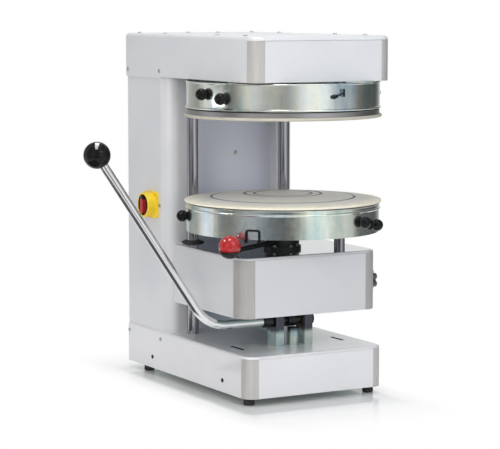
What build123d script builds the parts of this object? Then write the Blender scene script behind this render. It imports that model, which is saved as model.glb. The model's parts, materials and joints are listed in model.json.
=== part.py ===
from build123d import *
import math
import os

# Pizza dough spinner: a head on a hollow column carries a motor-driven upper plate, and a
# carriage on two guide rods carries a free-running lower plate. A hand lever lifts the carriage.
# Millimetres, X right, Y to the back, Z up. Pieces are modelled about the plates' common axis
# (x = y = 0, floor at z = 0) and written with the middle of the footprint's box as origin.

# Clearances
fit_gap = 0.05
rest_gap = 0.3
slide_gap = 0.3
seam = 0.4
over = 1.0

# Plates
pad_radius = 210.0
pad_thickness = 9.0
pad_edge = 3.5
pad_rim = 4.0
pad_rim_edge = 1.2
crown_rise = 12.0
crown_radius = 84.0
disc_inset = 11.0
disc_thickness = 7.5
disc_edge = 1.0
open_gap = 164.3
closed_gap = 3.3

# Guard bands, pans and their posts
band_margin = 6.5
band_wall = 1.7
band_height = 52.5
band_gap = 2.0
bead_radius = 2.6
pan_wall = 1.6
pan_plate = 2.0
pan_rim = 46.0
pan_hole_margin = 17.0
post_circle = 130.0
post_radius = 11.5
post_height = 41.0
post_angles = (37.0, 157.0, -83.0)

# Sheet housings
sheet = 2.0
housing_half = 166.5
corner_radius = 26.5
corner_leg = 12.0
corner_leg_wall = 2.5
foot_height = 16.0
base_front = -143.5
base_height = 88.0
base_fold = 5.0
base_rear_margin = 4.0
tray_wall = 2.5
tray_flange = 78.0
slot_inset = 42.5
slot_y = -22.0
slot_length = 52.0
slot_width = 8.0
head_front = -168.5
head_gap = 6.7
head_height = 94.0
head_fold = 9.0
head_rear_margin = 11.5
head_floor_lift = 23.0
head_floor_wall = 8.0
flap_drop = 3.0
back_corner_margin = 3.0

# Column
column_inset = 3.0
column_depth = 189.0
nose_offset = 32.0
nose_radius = 30.0
cheek_width = 50.5
recess_depth = 28.7
panel_flange = 10.0
vent_rows = 7
vent_columns = (-40.0, 40.0)
vent_pitch = 14.0
vent_length = 46.0
vent_width = 5.0
gland_radius = 12.0
gland_length = 9.0
gland_bore = 4.0
gland_edge = 3.0
gland_x = 90.0
gland_lift = 60.0

# Carriage
carriage_margin = 1.5
carriage_front = -119.5
carriage_shoulder_gap = 38.0
under_gap = 75.5
carriage_height = 126.5
carriage_corner = 33.0
carriage_fold = 5.0
carriage_floor_wall = 4.0
deck_wall = 8.0

# Guide rods and their bearings
rod_spacing = 230.0
rod_radius = 12.5
plate_clearance = 3.0
rod_chamfer = 1.0
socket_wall = 7.0
socket_flange = 12.0
socket_flange_wall = 8.0
socket_height = 30.0
bush_wall = 5.0
bush_length = 45.0
bush_inset = 1.0
block_wall = 5.0
block_gap = 1.0
rod_hole_margin = 3.0
wiper_wall = 12.0
wiper_rim = 2.0
wiper_height = 5.0
wiper_taper = 7.0

# Spindles and bearings
spindle_radius = 15.0
shoulder_step = 5.0
spindle_flange_step = 30.0
spindle_flange_wall = 8.0
spindle_tail = 5.0
bearing_wall = 8.5
bearing_width = 9.0
waist_step = 5.0
shell_wall = 6.0
hub_wall = 6.0
hub_drop = 44.0
hub_gap = 1.0
hub_flange_step = 10.0
hub_flange_wall = 7.0
hub_bolt_count = 6
head_flange_step = 25.0
head_flange_wall = 10.0
housing_gap = 8.0
spindle_hole_margin = 5.0

# Belt drive
motor_rear_gap = 54.0
motor_radius = 42.0
motor_length = 160.0
motor_fins = 18
motor_fin_depth = 4.0
motor_fin_width = 3.0
motor_cowl = 38.0
motor_cowl_chamfer = 8.0
motor_flange_step = 8.0
motor_flange_wall = 12.0
motor_shaft_radius = 7.0
motor_shaft_depth = 40.0
motor_pulley_radius = 25.0
spindle_pulley_radius = 62.5
pulley_rim = 7.5
pulley_width = 20.0
pulley_lift = 14.0
belt_width = 12.0
belt_wall = 5.0
belt_gap = 0.3
belt_side_gap = 0.5

# Hand lever and lift
fulcrum_y = -32.0
fulcrum_lift = 53.0
upright_inner = 25.0
upright_width = 20.0
upright_depth = 38.0
upright_edge = 1.5
stop_radius = 12.0
stop_edge = 1.5
shaft_radius = 9.6
shaft_head_step = 4.0
shaft_head_length = 6.5
fulcrum_bush_wall = 3.0
fulcrum_bush_flange = 2.0
lever_out = 33.5
lever_bend = 79.0
lever_run = (-221.0, 62.0, 362.0)
lever_ball_radius = 28.0
lever_ball_flat = 2.5
lever_hub_wall = 4.0
lever_hub_length = 22.0
lever_hub_chamfer = 1.5
lever_hub_gap = 1.0
lever_swing = 66.0
lift_start = -5.0
arm_width = 20.0
arm_hub_radius = 14.0
arm_boss_wall = 5.0
arm_web = 8.0
arm_pocket_margin = 11.0
arm_pocket_radii = (9.0, 6.0)
pin_radius = 7.0
yoke_side_gap = 2.0
yoke_wall = 8.0
yoke_edge = 10.0
yoke_flange_wall = 8.0
yoke_flange_reach = 20.0
slot_steps = 11

# Thickness lever under the lower pan
thickness_angle = -57.4
thickness_out = 29.5
thickness_arm_radius = 5.0
thickness_collar_wall = 6.0
thickness_collar_height = 12.0
thickness_collar_lift = 2.0
thickness_ball_radius = 23.0
thickness_ball_lift = 11.0
cup_wall = 2.0
cup_drop = 10.0

# Knobs on the bands: angle from the front, distance from the pan's plate
upper_knobs = ((-81.4, 19.3), (-66.5, 27.3), (82.6, 24.3))
lower_knobs = ((-111.5, 32.0), (22.4, 29.0), (36.4, 19.0))
knob_ball_radius = 12.5
knob_ball_out = 10.0
stud_radius = 3.0
stud_depth = 9.0
nut_radius = 6.0
nut_depth = 5.0

# U-bolt over the lower band's edge and catch on the upper band's front
ubolt_angle = -47.4
ubolt_half = 14.0
ubolt_height = 19.0
ubolt_bend = 4.0
ubolt_radius = 2.0
ubolt_nut_radius = 4.0
ubolt_nut_height = 6.0
catch_angle = 6.1
catch_drop = 14.5
catch_wall = 2.5
catch_height = 16.0
catch_reach = 7.0
catch_rod_radius = 2.2
catch_rod_out = 4.0
catch_rod_run = 24.0
catch_rod_fall = 8.5
catch_cap_radius = 3.8
catch_cap_length = 9.0

# Clamp knob on the carriage's right side
side_knob_y = -50.0
side_knob_lift = 53.5
side_knob_radius = 23.0
side_knob_lobes = 6
side_knob_lobe = 7.2
side_knob_height = 20.0
side_knob_edge = 2.5
side_stem_radius = 6.0
side_stem_depth = 14.0
side_collar_step = 3.0
side_bush_wall = 5.0
side_bush_depth = 12.0
side_bush_flange = 3.0
side_knob_gap = 5.0

# Main switch on the column's left side
switch_behind_nose = 67.0
switch_lift = 279.5
switch_plate = 58.0
switch_plate_corner = 6.0
switch_plate_wall = 5.0
switch_drum_radius = 27.0
switch_drum_length = 12.0
switch_drum_edge = 2.0
switch_bezel_radius = 24.0
switch_bezel_wall = 1.5
switch_bezel_edge = 0.5
switch_knob_radius = 20.0
switch_knob_wall = 2.5
switch_knob_edge = 1.0
switch_grip_height = 10.0
switch_grip_width = 13.0
switch_grip_inset = 1.0
switch_grip_corner = 5.0
switch_screw_gap = 1.5

# Feet and fasteners
foot_radius = 12.0
foot_edge = 2.0
foot_taper = 1.0
foot_side_inset = 21.0
foot_front_inset = 31.0
foot_rear_inset = 70.0
foot_stud = 6.0
screw_head_radius = 4.5
screw_head_height = 2.4
screw_radius = 2.0
screw_length = 7.0
bolt_head_radius = 4.0
bolt_head_height = 2.8
column_screw_drop = 10.0
column_screw_y = (25.0, 181.0)
base_screw_drop = 18.0
base_bolt_lift = 25.0
base_bolt_y = (-36.0, 65.0)
rear_screw_inset = 13.5
rear_screw_lifts = (26.0, 291.0, 556.0)
recess_screw_x = 24.0
recess_screw_lifts = (66.0, 391.0)
top_screw_inset = 22.0
top_screw_rows = (-95.0, 25.0)
top_screw_rear_insets = (34.0, 160.0)
motor_screw_x = 38.0

# Heights, from the floor up
base_top = foot_height + base_height
tray_top = foot_height + tray_wall
carriage_bottom = base_top + under_gap
carriage_floor_top = carriage_bottom + carriage_floor_wall
carriage_top = carriage_bottom + carriage_height
deck_top = carriage_top - sheet
deck_bottom = deck_top - deck_wall
lower_band_bottom = carriage_top + post_height
lower_disc_bottom = lower_band_bottom + band_height + band_gap
lower_disc_top = lower_disc_bottom + disc_thickness
lower_pad_top = lower_disc_top + pad_rim + crown_rise
upper_pad_bottom = lower_pad_top + open_gap
upper_disc_bottom = upper_pad_bottom + pad_thickness
upper_disc_top = upper_disc_bottom + disc_thickness
upper_band_bottom = upper_disc_top + band_gap
upper_band_top = upper_band_bottom + band_height
head_bottom = upper_band_top + head_gap
head_top = head_bottom + head_height
head_floor_bottom = head_bottom + head_floor_lift
head_floor_top = head_floor_bottom + head_floor_wall
hub_top = lower_band_bottom - hub_gap
hub_foot = carriage_top - hub_drop
hub_flange_top = carriage_top + hub_flange_wall
upper_housing_foot = upper_disc_top + spindle_flange_wall + housing_gap
pulley_bottom = head_floor_top + pulley_lift
pulley_top = pulley_bottom + pulley_width
fulcrum_z = base_top + fulcrum_lift
upright_top = carriage_bottom - rest_gap
collar_bottom = hub_flange_top + bolt_head_height + thickness_collar_lift
collar_top = collar_bottom + thickness_collar_height
thickness_ball_z = (collar_bottom + collar_top) / 2 + thickness_ball_lift
side_knob_z = carriage_bottom + side_knob_lift
switch_z = base_top + switch_lift

# Radii
disc_radius = pad_radius - disc_inset
band_radius = disc_radius + band_margin
pan_radius = band_radius - band_wall - fit_gap
bearing_radius = spindle_radius + bearing_wall
shell_radius = bearing_radius + shell_wall
hub_radius = bearing_radius + hub_wall
hub_flange = shell_radius + hub_flange_step
head_flange = shell_radius + head_flange_step
waist_radius = bearing_radius - waist_step
shoulder_radius = spindle_radius + shoulder_step
spindle_flange = spindle_radius + spindle_flange_step
pan_hole = hub_radius + pan_hole_margin
bush_radius = rod_radius + bush_wall
block_radius = bush_radius + block_wall
rod_hole = rod_radius + rod_hole_margin
thickness_reach = band_radius + thickness_out
side_bush_radius = side_stem_radius + side_bush_wall
knob_centre = band_radius + knob_ball_out

# Widths and depths
profile_wall = sheet + corner_leg_wall
column_half = housing_half - column_inset
recess_half = column_half - cheek_width
carriage_half = housing_half + carriage_margin
rod_x = rod_spacing / 2
tongue_half = rod_x + block_radius + block_gap + sheet
rod_y = math.sqrt((pad_radius + rod_radius + plate_clearance) ** 2 - rod_x ** 2)
nose_front = rod_y + nose_offset
recess_y = nose_front + recess_depth
column_rear = nose_front + column_depth
base_rear = column_rear + base_rear_margin
head_rear = column_rear + head_rear_margin
motor_y = column_rear - motor_rear_gap
plate_inset = max(profile_wall, carriage_fold) + rest_gap
carriage_shoulder = nose_front - carriage_shoulder_gap
carriage_back = rod_y + block_radius + plate_inset
switch_y = nose_front + switch_behind_nose
switch_face = -column_half - switch_plate_wall - switch_drum_length
bezel_face = switch_face - switch_bezel_wall
hub_right = -(upright_inner + upright_width + lever_hub_gap)
hub_left = hub_right - lever_hub_length
hub_middle = (hub_left + hub_right) / 2
lever_corner = Vector(-housing_half - lever_out, fulcrum_y, fulcrum_z)
lever_end = lever_corner + Vector(*lever_run)

# Lift: the carriage rises evenly as the lever swings
lift_stroke = open_gap - closed_gap
lift_rate = lift_stroke / lever_swing
lift_end = lift_start + lever_swing
lift_arm_length = lift_stroke / (math.sin(math.radians(lift_end)) - math.sin(math.radians(lift_start)))
arm_half = arm_width / 2
yoke_inner = arm_half + yoke_side_gap
yoke_outer = yoke_inner + yoke_wall

# Places of what repeats
rod_places = ((-rod_x, rod_y), (rod_x, rod_y))
foot_x = housing_half - foot_side_inset
foot_rows = (base_front + foot_front_inset, base_rear - foot_rear_inset)
foot_places = [(x, y) for x in (-foot_x, foot_x) for y in foot_rows]


def side_seats(rows, z):
    right = [Pos(housing_half, y, z) * Rot(0, 90, 0) for y in rows]
    return right + [Pos(-housing_half, y, z) * Rot(0, -90, 0) for y in rows]


column_screw_rows = [nose_front + y for y in column_screw_y]
base_bolt_rows = [base_bolt_y[0], nose_front + base_bolt_y[1]]
rear_screw_x = column_half - rear_screw_inset
top_screw_x = housing_half - top_screw_inset
top_rows = list(top_screw_rows) + [head_rear - inset for inset in top_screw_rear_insets]
head_seats = side_seats(column_screw_rows, head_floor_bottom - column_screw_drop)
base_seats = side_seats(column_screw_rows, base_top - base_screw_drop)
base_seats += side_seats(base_bolt_rows, foot_height + base_bolt_lift)
rear_seats = [
    Pos(x, column_rear, base_top + lift) * Rot(-90, 0, 0)
    for x in (-rear_screw_x, rear_screw_x)
    for lift in rear_screw_lifts
]
recess_seats = [
    Pos(recess_screw_x, recess_y - sheet, base_top + lift) * Rot(90, 0, 0)
    for lift in recess_screw_lifts
]
switch_screw_y = switch_y - switch_plate / 2 - screw_head_radius - switch_screw_gap
switch_seat = Pos(-column_half, switch_screw_y, switch_z) * Rot(0, -90, 0)
top_seats = [Pos(x, y, head_top) for x in (-top_screw_x, top_screw_x) for y in top_rows]
top_seats += [Pos(x, motor_y, head_top) for x in (-motor_screw_x, motor_screw_x)]
screw_drill = Cylinder(screw_radius + fit_gap, 2 * (screw_length + over))


# Basic forms

def block(x0, x1, y0, y1, z0, z1):
    return Pos((x0 + x1) / 2, (y0 + y1) / 2, (z0 + z1) / 2) * Box(x1 - x0, y1 - y0, z1 - z0)


def upright(x, y, z0, z1, radius):
    return Pos(x, y, (z0 + z1) / 2) * Cylinder(radius, z1 - z0)


def crosswise(x0, x1, y, z, radius):
    return Pos((x0 + x1) / 2, y, z) * Rot(0, 90, 0) * Cylinder(radius, x1 - x0)


def lengthwise(x, y0, y1, z, radius):
    return Pos(x, (y0 + y1) / 2, z) * Rot(90, 0, 0) * Cylinder(radius, y1 - y0)


def sleeve(x, y, z0, z1, outer, inner):
    return upright(x, y, z0, z1, outer) - upright(x, y, z0, z1, inner)


def turned(*profile):
    return revolve(Plane.XZ * make_face(Polyline(*profile, close=True)), Axis.Z)


def round_bar(ends, radii):
    rims = [Pos(*end) * Circle(radius) for end, radius in zip(ends, radii)]
    return make_hull(rims[0].edges() + rims[1].edges())


def both_sides(piece):
    return [piece, mirror(piece, Plane.YZ)]


def make_screw():
    head = upright(0, 0, 0, screw_head_height, screw_head_radius)
    head = chamfer(head.edges().group_by(Axis.Z)[-1], screw_head_height / 2)
    return head + upright(0, 0, -screw_length, 0, screw_radius)


# Folded housings with extruded corner profiles and a separate front panel

def plan(half, front, rear, corner, back_corner):
    outline = Pos(0, (front + rear) / 2) * Rectangle(2 * half, rear - front)
    outline = fillet(outline.vertices().group_by(Axis.Y)[0], corner)
    return fillet(outline.vertices().group_by(Axis.Y)[-1], back_corner)


def base_plan():
    return plan(housing_half, base_front, base_rear, corner_radius, base_fold + back_corner_margin)


def head_plan():
    return plan(housing_half, head_front, head_rear, corner_radius, head_fold + back_corner_margin)


def carriage_plan():
    back_corner = carriage_fold + back_corner_margin
    outline = plan(carriage_half, carriage_front, carriage_shoulder, carriage_corner, back_corner)
    tongue_depth = carriage_back - carriage_shoulder
    outline += Pos(0, carriage_shoulder) * Rectangle(2 * tongue_half, 2 * tongue_depth)
    return fillet(outline.vertices().group_by(Axis.Y)[-1], back_corner)


def folded_cover(outline, z0, z1, fold):
    outer = Pos(0, 0, z0) * extrude(outline, z1 - z0)
    outer = fillet(outer.faces().sort_by(Axis.Z)[-1].edges(), fold)
    inner = Pos(0, 0, z0) * extrude(offset(outline, -sheet), z1 - sheet - z0)
    inner = fillet(inner.faces().sort_by(Axis.Z)[-1].edges(), fold - sheet)
    return outer - inner


def front_opening(half, front, corner, z0, lip):
    return block(-half - over, half + over, front - over, front + corner + seam, z0 - over, lip + seam)


def corner_profiles(half, front, corner, z0, lip):
    centre = Pos(half - corner, front + corner)
    profile = centre * (Circle(corner) - Circle(corner - profile_wall))
    profile &= centre * Pos(corner / 2, -corner / 2) * Rectangle(corner, corner)
    side_leg = Pos(half - sheet - corner_leg_wall / 2, front + corner + corner_leg / 2)
    profile += side_leg * Rectangle(corner_leg_wall, corner_leg)
    front_leg = Pos(half - corner - corner_leg / 2, front + sheet + corner_leg_wall / 2)
    profile += front_leg * Rectangle(corner_leg, corner_leg_wall)
    return both_sides(Pos(0, 0, z0) * extrude(profile, lip - z0))


def front_panel(half, front, corner, z0, lip):
    reach = half - corner - seam
    panel = block(-reach, reach, front, front + sheet, z0, lip)
    return fillet(panel.edges().filter_by(Axis.X).group_by(Axis.Y)[0], sheet / 2)


# Base

base_lip = base_top - base_fold - seam


def make_base_cover():
    cover = folded_cover(base_plan(), foot_height, base_top, base_fold)
    cover -= front_opening(housing_half, base_front, corner_radius, foot_height, base_lip)
    low, high = base_top - sheet - over, base_top + over
    cover -= [upright(x, y, low, high, rod_radius + slide_gap) for x, y in rod_places]
    slot = Pos(0, slot_y, low) * Rot(0, 0, 90) * extrude(SlotOverall(slot_length, slot_width), high - low)
    slot_x = housing_half - slot_inset
    cover -= [Pos(x) * slot for x in (-slot_x, slot_x)]
    return cover - [seat * screw_drill for seat in base_seats]


def make_base_tray():
    floor = Pos(0, 0, foot_height) * extrude(offset(base_plan(), -profile_wall - rest_gap), tray_wall)
    outer = housing_half - sheet - rest_gap
    front = base_front + corner_radius + corner_leg + rest_gap
    rear = base_rear - base_fold - back_corner_margin
    flange = block(outer - tray_wall, outer, front, rear, foot_height, foot_height + tray_flange)
    tray = floor + both_sides(flange)
    hole = stud_radius + fit_gap
    tray -= [upright(x, y, foot_height - over, tray_top + over, hole) for x, y in foot_places]
    return tray - [seat * screw_drill for seat in base_seats]


def make_foot(x, y):
    pad = turned(
        (0, 0),
        (foot_radius - foot_edge, 0),
        (foot_radius, foot_edge),
        (foot_radius - foot_taper, foot_height),
        (0, foot_height),
    )
    return Pos(x, y) * (pad + upright(0, 0, foot_height, tray_top + foot_stud, stud_radius))


# Column

def make_cheek():
    nose_start = (column_half - nose_radius, nose_front)
    nose_end = (column_half, nose_front + nose_radius)
    inner_front = (recess_half, nose_front)
    inner_rear = (recess_half, column_rear - sheet)
    outer_rear = (column_half, column_rear - sheet)
    outline = make_face(
        Line(inner_rear, inner_front)
        + Line(inner_front, nose_start)
        + RadiusArc(nose_start, nose_end, -nose_radius)
        + Line(nose_end, outer_rear)
        + Line(outer_rear, inner_rear)
    )
    height = head_floor_bottom - base_top
    cheek = extrude(outline, height) - extrude(offset(outline, -sheet), height)
    y0, y1 = recess_y + 2 * sheet, column_rear - 2 * sheet
    cheek -= block(recess_half - over, column_half - sheet, y0, y1, -over, height + over)
    cheek = Pos(0, 0, base_top) * cheek
    return cheek - [seat * screw_drill for seat in head_seats + rear_seats]


def make_recess_panel():
    reach = recess_half - rest_gap
    low, high = base_top, head_floor_bottom
    panel = block(-reach, reach, recess_y - sheet, recess_y, low, high)
    panel += both_sides(block(reach - sheet, reach, recess_y, recess_y + panel_flange, low, high))
    return panel - [seat * screw_drill for seat in recess_seats]


def make_rear_cover():
    cover = block(-column_half, column_half, column_rear - sheet, column_rear, base_top, head_floor_bottom)
    slot = Rot(90, 0, 0) * extrude(SlotOverall(vent_length, vent_width), sheet + over, both=True)
    vent_low = head_floor_bottom - motor_length
    heights = [vent_low + row * vent_pitch for row in range(vent_rows)]
    cover -= [Pos(x, column_rear, z) * slot for x in vent_columns for z in heights]
    cover -= gland_at(Cylinder(gland_bore, 4 * sheet))
    return cover - [seat * screw_drill for seat in rear_seats]


def gland_at(piece):
    return Pos(gland_x, column_rear, base_top + gland_lift) * Rot(-90, 0, 0) * piece


def make_cable_gland():
    nut = extrude(RegularPolygon(gland_radius, 6), gland_length / 2)
    dome = upright(0, 0, gland_length / 2, gland_length, gland_radius - gland_edge)
    dome = fillet(dome.edges().group_by(Axis.Z)[-1], gland_edge)
    return gland_at(nut + dome - Cylinder(gland_bore, 4 * gland_length))


# Head

head_lip = head_top - head_fold - seam


def make_head_cover():
    cover = folded_cover(head_plan(), head_bottom, head_top, head_fold)
    cover -= front_opening(housing_half, head_front, corner_radius, head_bottom, head_lip)
    flap_front = column_screw_rows[0] - 2 * screw_head_radius
    flap_rear = head_rear - head_fold - back_corner_margin
    inner, low = housing_half - sheet, head_bottom - flap_drop
    cover += both_sides(block(inner, housing_half, flap_front, flap_rear, low, head_bottom))
    return cover - [seat * screw_drill for seat in head_seats + top_seats]


def make_head_floor():
    outline = offset(head_plan(), -profile_wall - rest_gap)
    floor = Pos(0, 0, head_floor_bottom) * extrude(outline, head_floor_wall)
    low, high = head_floor_bottom - over, head_floor_top + over
    floor -= upright(0, 0, low, high, spindle_radius + spindle_hole_margin)
    floor -= upright(0, motor_y, low, high, motor_shaft_radius + spindle_hole_margin)
    return floor - [upright(x, y, low, high, rod_radius + fit_gap) for x, y in rod_places]


# Guide rods

def make_guide_rod(x, y):
    rod = upright(x, y, tray_top + rest_gap, head_floor_top + socket_height, rod_radius)
    return chamfer(rod.edges().filter_by(GeomType.CIRCLE), rod_chamfer)


def make_socket(x, y, z0):
    bore = rod_radius + fit_gap
    tube = bore + socket_wall
    flange = rod_radius + socket_flange
    step = z0 + socket_flange_wall
    top = z0 + socket_height
    return Pos(x, y) * turned(
        (bore, z0), (flange, z0), (flange, step), (tube, step), (tube, top), (bore, top)
    )


# Fulcrum, hand lever and lift

def make_fulcrum_bracket():
    x0, x1 = upright_inner, upright_inner + upright_width
    y0, y1 = fulcrum_y - upright_depth / 2, fulcrum_y + upright_depth / 2
    bracket = block(x0, x1, y0, y1, base_top, upright_top)
    bracket = fillet(bracket.edges().filter_by(Axis.Z), upright_edge)
    return bracket - crosswise(x0 - over, x1 + over, fulcrum_y, fulcrum_z, shaft_radius + fulcrum_bush_wall)


def make_stop_post():
    post = upright(0, fulcrum_y - stop_radius, base_top, fulcrum_z - arm_hub_radius - rest_gap, stop_radius)
    return chamfer(post.edges().group_by(Axis.Z)[-1], stop_edge)


def make_fulcrum_bush():
    x0, x1 = upright_inner - fulcrum_bush_flange, upright_inner + upright_width
    bush = crosswise(x0, x1, fulcrum_y, fulcrum_z, shaft_radius + fulcrum_bush_wall - fit_gap)
    bush += crosswise(x0, upright_inner, fulcrum_y, fulcrum_z, shaft_radius + 2 * fulcrum_bush_wall)
    return bush - crosswise(x0 - over, x1 + over, fulcrum_y, fulcrum_z, shaft_radius + fit_gap)


def make_lever_hub():
    hub = crosswise(hub_left, hub_right, fulcrum_y, fulcrum_z, shaft_radius + lever_hub_wall)
    hub = chamfer(hub.edges().filter_by(GeomType.CIRCLE), lever_hub_chamfer)
    return hub - crosswise(hub_left - over, hub_right + over, fulcrum_y, fulcrum_z, shaft_radius + fit_gap)


def make_lever_rod():
    start = Vector(hub_middle - rest_gap, fulcrum_y, fulcrum_z)
    path = FilletPolyline(start, lever_corner, lever_end, radius=lever_bend)
    return sweep(Plane(start, z_dir=(-1, 0, 0)) * Circle(shaft_radius), path)


def make_lever_ball():
    radius = lever_ball_radius
    ball = Sphere(radius) - block(-radius, radius, -radius, radius, -radius, lever_ball_flat - radius)
    ball -= upright(0, 0, -radius - over, rest_gap, shaft_radius + fit_gap)
    return Plane(lever_end, z_dir=Vector(*lever_run).normalized()) * ball


def pin_place(degrees):
    angle = math.radians(degrees)
    return fulcrum_y + lift_arm_length * math.cos(angle), fulcrum_z + lift_arm_length * math.sin(angle)


def pin_in_yoke(degrees):
    y, z = pin_place(degrees)
    return y, z - lift_rate * (degrees - lift_start)


def make_lift_shaft():
    right = upright_inner + upright_width + rest_gap
    end = right + shaft_head_length
    shaft = crosswise(hub_middle + rest_gap, end, fulcrum_y, fulcrum_z, shaft_radius)
    shaft += crosswise(right, end, fulcrum_y, fulcrum_z, shaft_radius + shaft_head_step)
    ends = ((fulcrum_y, fulcrum_z), pin_place(lift_start))
    boss_radius = pin_radius + arm_boss_wall
    arm = extrude(Plane.YZ * round_bar(ends, (arm_hub_radius, boss_radius)), arm_half, both=True)
    first = (arm_hub_radius + arm_pocket_margin) / lift_arm_length
    last = 1 - (boss_radius + arm_pocket_margin) / lift_arm_length
    pocket_ends = [[a + (b - a) * share for a, b in zip(*ends)] for share in (first, last)]
    pocket = extrude(Plane.YZ * round_bar(pocket_ends, arm_pocket_radii), arm_half)
    arm -= [Pos(arm_web / 2) * pocket, Pos(-arm_web / 2 - arm_half) * pocket]
    return shaft + arm + crosswise(-yoke_outer, yoke_outer, *pin_place(lift_start), pin_radius)


def make_yoke():
    centres = [pin_in_yoke(lift_start + lever_swing * i / slot_steps) for i in range(slot_steps + 1)]
    slot_radius = pin_radius + slide_gap
    margin = slot_radius + yoke_edge
    y0 = min(y for y, z in centres) - margin
    y1 = max(y for y, z in centres) + margin
    z0 = min(z for y, z in centres) - margin
    z1 = carriage_bottom - yoke_flange_wall
    cheek = Pos((y0 + y1) / 2, (z0 + z1) / 2) * Rectangle(y1 - y0, z1 - z0)
    cheek = fillet(cheek.vertices().group_by(Axis.Y)[0], yoke_edge)
    for pair in zip(centres, centres[1:]):
        cheek -= round_bar(pair, (slot_radius, slot_radius))
    wall = Pos(yoke_inner) * extrude(Plane.YZ * cheek, yoke_wall)
    reach = yoke_outer + yoke_flange_reach
    return block(-reach, reach, y0, y1, z1, carriage_bottom) + both_sides(wall)


# Carriage

carriage_lip = carriage_top - carriage_fold - seam


def make_carriage_cover():
    cover = folded_cover(carriage_plan(), carriage_bottom, carriage_top, carriage_fold)
    cover -= front_opening(carriage_half, carriage_front, carriage_corner, carriage_bottom, carriage_lip)
    low, high = deck_top - over, carriage_top + over
    cover -= upright(0, 0, low, high, shell_radius + rest_gap)
    cover -= [upright(x, y, low, high, rod_hole) for x, y in rod_places]
    inner, outer = carriage_half - side_bush_depth, carriage_half + side_bush_flange
    cover += crosswise(inner, outer, side_knob_y, side_knob_z, side_bush_radius)
    return cover - crosswise(inner - over, outer + over, side_knob_y, side_knob_z, side_stem_radius + fit_gap)


def carriage_plate(z0, z1):
    plate = Pos(0, 0, z0) * extrude(offset(carriage_plan(), -plate_inset), z1 - z0)
    return plate - [upright(x, y, z0 - over, z1 + over, rod_hole) for x, y in rod_places]


def make_carriage_deck():
    deck = carriage_plate(deck_bottom, deck_top)
    return deck - upright(0, 0, deck_bottom - over, deck_top + over, shell_radius + rest_gap)


def make_linear_bushes(x, y):
    lows = (carriage_floor_top + bush_inset, deck_bottom - bush_inset - bush_length)
    return [sleeve(x, y, z, z + bush_length, bush_radius - fit_gap, rod_radius + fit_gap) for z in lows]


def make_wiper(x, y):
    bore, outer = rod_radius + fit_gap, rod_radius + wiper_wall
    low, high = carriage_top, carriage_top + wiper_height
    return Pos(x, y) * turned(
        (bore, low), (outer, low), (outer, low + wiper_rim), (outer - wiper_taper, high), (bore, high)
    )


def make_lower_housing():
    return turned(
        (bearing_radius, hub_foot),
        (shell_radius, hub_foot),
        (shell_radius, carriage_top),
        (hub_flange, carriage_top),
        (hub_flange, hub_flange_top),
        (hub_radius, hub_flange_top),
        (hub_radius, hub_top),
        (bearing_radius, hub_top),
        (bearing_radius, hub_top - bearing_width),
        (waist_radius, hub_top - bearing_width),
        (waist_radius, hub_foot + bearing_width),
        (bearing_radius, hub_foot + bearing_width),
    )


def make_bearing(z0):
    return sleeve(0, 0, z0, z0 + bearing_width, bearing_radius - fit_gap, spindle_radius + fit_gap)


def make_hub_bolt(angle):
    bolt = extrude(RegularPolygon(bolt_head_radius, 6), bolt_head_height)
    return Rot(0, 0, angle) * Pos(0, -(shell_radius + hub_flange) / 2, hub_flange_top) * bolt


def make_lower_spindle():
    flange_low = lower_disc_bottom - spindle_flange_wall
    shoulder = hub_top + rest_gap
    return turned(
        (0, hub_foot - spindle_tail),
        (spindle_radius, hub_foot - spindle_tail),
        (spindle_radius, shoulder),
        (shoulder_radius, shoulder),
        (shoulder_radius, flange_low),
        (spindle_flange, flange_low),
        (spindle_flange, lower_disc_bottom),
        (0, lower_disc_bottom),
    )


# Plates, bands and pans

def make_disc(z0):
    disc = upright(0, 0, z0, z0 + disc_thickness, disc_radius)
    return chamfer(disc.edges().filter_by(GeomType.CIRCLE), disc_edge)


def make_upper_pad():
    pad = upright(0, 0, upper_pad_bottom, upper_disc_bottom, pad_radius)
    return fillet(pad.edges().filter_by(GeomType.CIRCLE), pad_edge)


def make_lower_pad():
    pad = turned(
        (0, lower_disc_top),
        (pad_radius, lower_disc_top),
        (pad_radius, lower_disc_top + pad_rim),
        (crown_radius, lower_pad_top),
        (0, lower_pad_top),
    )
    return fillet(pad.edges().filter_by(GeomType.CIRCLE).sort_by(SortBy.RADIUS)[-2:], pad_rim_edge)


def make_band(z0, bead_z, knobs):
    wall = Pos(band_radius - band_wall / 2, z0 + band_height / 2) * Rectangle(band_wall, band_height)
    wall += Pos(band_radius, bead_z) * Circle(bead_radius)
    band = revolve(Plane.XZ * wall, Axis.Z)
    band -= upright(0, 0, z0 - over, z0 + band_height + over, band_radius - band_wall)
    return band - knob_holes(knobs)


def make_pan(plate_z, up, knobs):
    inner = pan_radius - pan_wall
    rim_z, face_z = plate_z + up * pan_rim, plate_z + up * pan_plate
    pan = turned(
        (pan_hole, plate_z),
        (pan_radius, plate_z),
        (pan_radius, rim_z),
        (inner, rim_z),
        (inner, face_z),
        (pan_hole, face_z),
    )
    for angle, z in knobs:
        pan += Rot(0, 0, angle) * lengthwise(0, -inner - pan_wall / 2, -inner + nut_depth, z, nut_radius)
    return pan - knob_holes(knobs)


def knob_holes(knobs):
    drill = lengthwise(0, -band_radius - over, -band_radius + stud_depth + over, 0, stud_radius + fit_gap)
    return [Rot(0, 0, angle) * Pos(0, 0, z) * drill for angle, z in knobs]


def make_ring_knob(angle, z):
    reach = knob_ball_radius
    knob = Pos(0, -knob_centre) * Sphere(reach)
    knob -= block(-reach, reach, -band_radius, -band_radius + reach, -reach, reach)
    knob += lengthwise(0, -band_radius - over, -band_radius + stud_depth, 0, stud_radius)
    return Rot(0, 0, angle) * Pos(0, 0, z) * knob


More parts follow.
